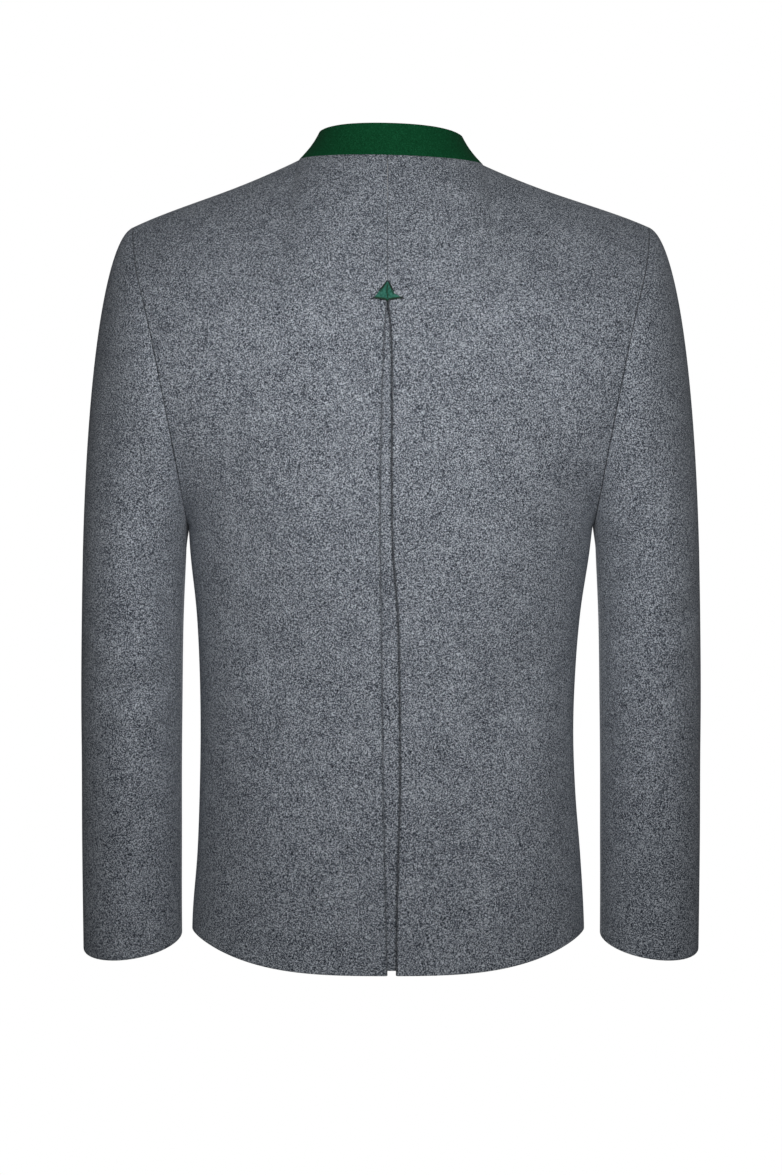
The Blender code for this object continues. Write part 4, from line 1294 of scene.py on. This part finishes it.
makeArrowStitches("edging", edgingLines, 0.35, 5, greenThread)
makeArrowStitches("base", baseLines, 0.45, 8, blackThreadAndSlitShade)
makeArrowStitches("centre", centreLines, 0.2, 2, greenThread)
print("arrow made")

# Buttons and buttonholes on the centre front
button = {
    "levels": (-0.088, -0.208, -0.328, -0.448, -0.568),
    "radius": 0.0105,
    "thickness": 0.0035,
    "dish": 0.0016,  # depth of the turned hollow
    "rim": 0.0021,
    "hole": 0.0008,
    "holeApart": 0.0036,
    "strands": 3,
    "segments": 72,
    "threadWidth": 0.00036,
    "tilts": (4, -7, 9, -3, 6),  # degrees, sewn on by hand, none quite level
}
buttonhole = {"length": 0.024, "start": -0.003, "stitch": 0.0022, "threadWidth": 0.0005}


def latheMesh(profile, segments):
    made = bmesh.new()
    rings = []
    for radius, z in profile[1:-1]:
        angles = np.linspace(0, 2 * math.pi, segments, endpoint=False)
        rings.append(
            [made.verts.new((radius * math.cos(a), radius * math.sin(a), z))
            for a in angles]
        )
    ends = [made.verts.new((0, 0, profile[0][1])), made.verts.new((0, 0, profile[-1][1]))]
    for i in range(segments):
        j = (i + 1) % segments
        made.faces.new((ends[0], rings[0][j], rings[0][i]))
        made.faces.new((rings[-1][i], rings[-1][j], ends[1]))
        for lower, upper in zip(rings[:-1], rings[1:]):
            made.faces.new((lower[i], lower[j], upper[j], upper[i]))
    return made


def buttonForm():
    edge = 0.0009
    turns = np.linspace(-90, 90, 13)
    top = button["thickness"]
    profile = [(0, 0)]
    profile += [
        (
            button["radius"] - edge * (1 - math.cos(math.radians(t))),
            edge * (1 + math.sin(math.radians(t))),
        )
        for t in turns[:7]
    ]
    profile += [
        (
            button["radius"] - edge * (1 - math.cos(math.radians(t))),
            top - edge * (1 - math.sin(math.radians(t))),
        )
        for t in turns[6:]
    ]
    inside = button["radius"] - edge - button["rim"] * 0.4
    for share in np.linspace(0, 1, 9)[1:]:
        profile.append((inside - share * button["rim"], top - button["dish"] * float(smoothStep(share))))
    profile += [
        (0.0045, top - button["dish"]), (0.001, top - button["dish"]), (0, top - button["dish"])
    ]
    made = latheMesh(profile, button["segments"])
    mesh = bpy.data.meshes.new("button_form")
    made.to_mesh(mesh)
    made.free()
    drill = bmesh.new()
    apart = button["holeApart"] / 2
    for x in (-apart, apart):
        for y in (-apart, apart):
            spot = bmesh.ops.create_cone(
                drill,
                cap_ends=True,
                segments=20,
                radius1=button["hole"],
                radius2=button["hole"],
                depth=4 * top,
            )
            bmesh.ops.translate(drill, vec=(x, y, 0), verts=spot["verts"])
    drillMesh = bpy.data.meshes.new("drill_form")
    drill.to_mesh(drillMesh)
    drill.free()
    blank, cutter = bpy.data.objects.new("blank", mesh), bpy.data.objects.new("drill", drillMesh)
    for made in (blank, cutter):
        bpy.context.scene.collection.objects.link(made)
    cut = blank.modifiers.new("holes", "BOOLEAN")
    cut.object, cut.operation, cut.solver = cutter, "DIFFERENCE", "EXACT"
    form = evaluatedMesh(blank)
    bpy.data.objects.remove(blank)
    bpy.data.objects.remove(cutter)
    return form


def tubeFaces(line, radius, sides, first):
    # a closed round thread along a line, as vertices and faces numbered from first
    line = np.asarray(line, float)
    along = unit(np.gradient(line, axis=0))
    across = unit(np.cross(along, [0, 0, 1.0]))
    up = np.cross(across, along)
    angles = np.linspace(0, 2 * math.pi, sides, endpoint=False)
    rings = [
        p + radius * (math.cos(a) * c + math.sin(a) * n)
        for p, c, n in zip(line, across, up)
        for a in angles
    ]
    faces = []
    for row in range(len(line) - 1):
        low, high = first + row * sides, first + (row + 1) * sides
        for i in range(sides):
            j = (i + 1) % sides
            faces.append([low + i, low + j, high + j, high + i])
    faces.append([first + i for i in range(sides)][::-1])
    faces.append([first + (len(line) - 1) * sides + i for i in range(sides)])
    return rings, faces


def threadForm():
    # strands from hole to hole, bedded in the hollow
    vertices, faces = [], []
    apart, width = button["holeApart"] / 2, button["threadWidth"]
    bottom = button["thickness"] - button["dish"]
    rises = [-0.0012, -0.0001, 0.0003, 0.0004, 0.00045, 0.0004, 0.0003, -0.0001, -0.0012]
    for y in (-apart, apart):
        for strand in range(button["strands"]):
            offset = (strand - (button["strands"] - 1) / 2) * width * 0.95
            xs = apart * np.array([-1.0, -1.0, -0.9, -0.5, 0.0, 0.5, 0.9, 1.0, 1.0])
            zs = bottom + np.array(rises)
            line = np.stack([xs, np.full_like(xs, y + offset), zs], axis=1)
            rings, sideFaces = tubeFaces(line, width / 2, 8, len(vertices))
            vertices += rings
            faces += sideFaces
    return np.array(vertices), faces


def setObject(name, vertices, faces, finish, angle=None):
    mesh = bpy.data.meshes.new(name)
    mesh.from_pydata(vertices.tolist(), [], faces)
    mesh.materials.append(finish)
    mesh.shade_smooth()
    if angle:
        mesh.set_sharp_from_angle(angle=math.radians(angle))
    piece = bpy.data.objects.new(name, mesh)
    bpy.context.scene.collection.objects.link(piece)
    return piece


def makeButtons():
    form = buttonForm()
    flatVertices = np.array([v.co for v in form.vertices])
    faces = [list(p.vertices) for p in form.polygons]
    threads, threadFaces = threadForm()
    for number in range(1, len(button["levels"]) + 1):
        node = bpy.data.objects[f"button_{number}"]
        corners = np.array([node.matrix_world @ v.co for v in node.data.vertices])
        centre = corners.mean(axis=0)
        facing = np.linalg.svd(corners - centre)[2][2]
        facing = facing * -np.sign(facing[1])
        across = unit(np.cross(facing, [0, 0, 1.0]))
        tilt = math.radians(button["tilts"][number - 1])
        across = across * math.cos(tilt) + np.cross(across, facing) * math.sin(tilt)
        frameOf = np.array([across, np.cross(facing, across), facing])
        foot = centre - facing * button["thickness"] / 2
        piece = setObject(
            f"horn_button_{number}", flatVertices @ frameOf + foot, faces, polishedHorn, 32
        )
        finishPiece(piece, [f"button_{number}"])
        thread = setObject(
            f"button_thread_{number}", threads @ frameOf + foot, threadFaces, greyThread
        )
        finishPiece(thread, [])
    bpy.data.meshes.remove(form)


def makeButtonholes():
    lips, slitShadeLines = [], []
    for level in button["levels"]:
        xs = buttonhole["start"] + np.linspace(0, buttonhole["length"], 40)
        half = buttonhole["stitch"] / 2
        ring = np.linspace(-90, 90, 13)
        ends = xs[-1] + half * np.cos(np.radians(ring))
        loopX = np.concatenate([xs, ends, xs[::-1]])
        loopZ = level + np.concatenate([-half + 0 * xs, half * np.sin(np.radians(ring)), half + 0 * xs])
        points, normals = surfaceAt(1, -1, loopX, loopZ)
        lips.append((points + 0.0001 * normals, normals))
        # the slit: short dark thread beads along the middle of each buttonhole, painted shadow of its
        # opening
        points, normals = surfaceAt(1, -1, xs, level + 0 * xs)
        slitShadeLines.append((points + 0.0001 * normals, normals))
    width = buttonhole["threadWidth"]
    makeStitches(
        "buttonhole_lips",
        lips,
        "grey_loden",
        Spacing=width,
        Length=buttonhole["stitch"] * 0.9,
        Width=width,
        Height=0.0007,
        Turn=math.pi / 2,
        Unevenness=0.10,
        Seed=4,
        Thread=greyThread,
    )
    makeStitches(
        "buttonhole_slit_shade",
        slitShadeLines,
        "grey_loden",
        Spacing=0.002,
        Length=0.0030,
        Width=0.0005,
        Height=0.0006,
        Unevenness=0.02,
        Seed=6,
        Thread=blackThreadAndSlitShade,
    )


makeButtons()
makeButtonholes()
print("buttons and buttonholes made")

# Stage
stage = {"floorLevel": -1.45, "floorRadius": 2.4, "fill": 0.086, "lampSpread": 105}
view = {"distance": 3.0, "height": -0.377, "frameHeight": 1.0422}
lamps = {
    "soft_behind": {
        "place": (-0.05, 1.12, -0.07), "size": (0.5, 0.5), "power": 2.68, "aim": (0.0, 0.0, -0.24)
    },
    "soft_front": {
        "place": (0.05, -1.12, -0.07), "size": (0.5, 0.5), "power": 2.68, "aim": (0.0, 0.0, -0.24)
    },
}


def floorMaterial():
    # matt paper floor, its rim fading out
    made, tree = newMaterial("pale_paper_floor")
    place = addNode(tree, "ShaderNodeTexCoord").outputs["Object"]
    flatPlace = addNode(
        tree, "ShaderNodeVectorMath", {"operation": "MULTIPLY"}, {1: (1, 1, 0)}, {0: place}
    )
    far = addNode(
        tree,
        "ShaderNodeVectorMath",
        {"operation": "LENGTH"},
        links={0: flatPlace.outputs["Vector"]},
    )
    fade = addNode(
        tree,
        "ShaderNodeMapRange",
        values={"From Min": stage["floorRadius"] * 0.55, "From Max": stage["floorRadius"] * 0.98},
        links={"Value": far.outputs["Value"]},
    )
    paper = addNode(tree, "ShaderNodeBsdfDiffuse", values={"Color": toLinear("#f2f2f0")})
    clear = addNode(tree, "ShaderNodeBsdfTransparent")
    mixed = addNode(
        tree,
        "ShaderNodeMixShader",
        links={0: fade.outputs["Result"], 1: paper.outputs[0], 2: clear.outputs[0]},
    )
    addNode(tree, "ShaderNodeOutputMaterial", links={"Surface": mixed.outputs[0]})
    return made


def makeFloor():
    made = bmesh.new()
    bmesh.ops.create_circle(made, cap_ends=True, segments=96, radius=stage["floorRadius"])
    mesh = bpy.data.meshes.new("floor")
    made.to_mesh(mesh)
    made.free()
    mesh.transform(Matrix.Translation((0, 0, stage["floorLevel"])))
    mesh.materials.append(floorMaterial())
    floor = bpy.data.objects.new("floor", mesh)
    bpy.context.scene.collection.objects.link(floor)


def makeLamp(name, place, size, power, aim):
    lamp = bpy.data.lights.new(name, "AREA")
    lamp.shape = "RECTANGLE"
    lamp.size, lamp.size_y = size
    lamp.energy = power
    made = bpy.data.objects.new(name, lamp)
    made.location = place
    made.rotation_euler = (Vector(aim) - Vector(place)).to_track_quat("-Z", "Y").to_euler()
    made.visible_camera = False
    lamp.spread = math.radians(stage["lampSpread"])
    bpy.context.scene.collection.objects.link(made)


makeFloor()
for name, facts in lamps.items():
    makeLamp(name, **facts)

camera = bpy.data.objects.new("camera", bpy.data.cameras.new("camera"))
camera.data.sensor_fit = "VERTICAL"
camera.data.sensor_height = 36
camera.data.lens = camera.data.sensor_height * view["distance"] / view["frameHeight"]
camera.location = (0, view["distance"], view["height"])
camera.rotation_euler = (math.radians(90), 0, math.radians(180))
bpy.context.scene.collection.objects.link(camera)
bpy.context.scene.camera = camera
bpy.context.scene.view_settings.view_transform = "Standard"

world = bpy.data.worlds.new("studio")
bpy.context.scene.world = world
world.use_nodes = True
world.node_tree.nodes.clear()
seen = addNode(
    world.node_tree, "ShaderNodeBackground", values={"Color": (1, 1, 1, 1), "Strength": 1.0}
)
fill = addNode(
    world.node_tree,
    "ShaderNodeBackground",
    values={"Color": (1, 1, 1, 1), "Strength": stage["fill"]},
)
path = addNode(world.node_tree, "ShaderNodeLightPath")
both = addNode(
    world.node_tree,
    "ShaderNodeMixShader",
    links={0: path.outputs["Is Camera Ray"], 1: fill.outputs[0], 2: seen.outputs[0]},
)
addNode(world.node_tree, "ShaderNodeOutputWorld", links={"Surface": both.outputs[0]})
print("stage set")
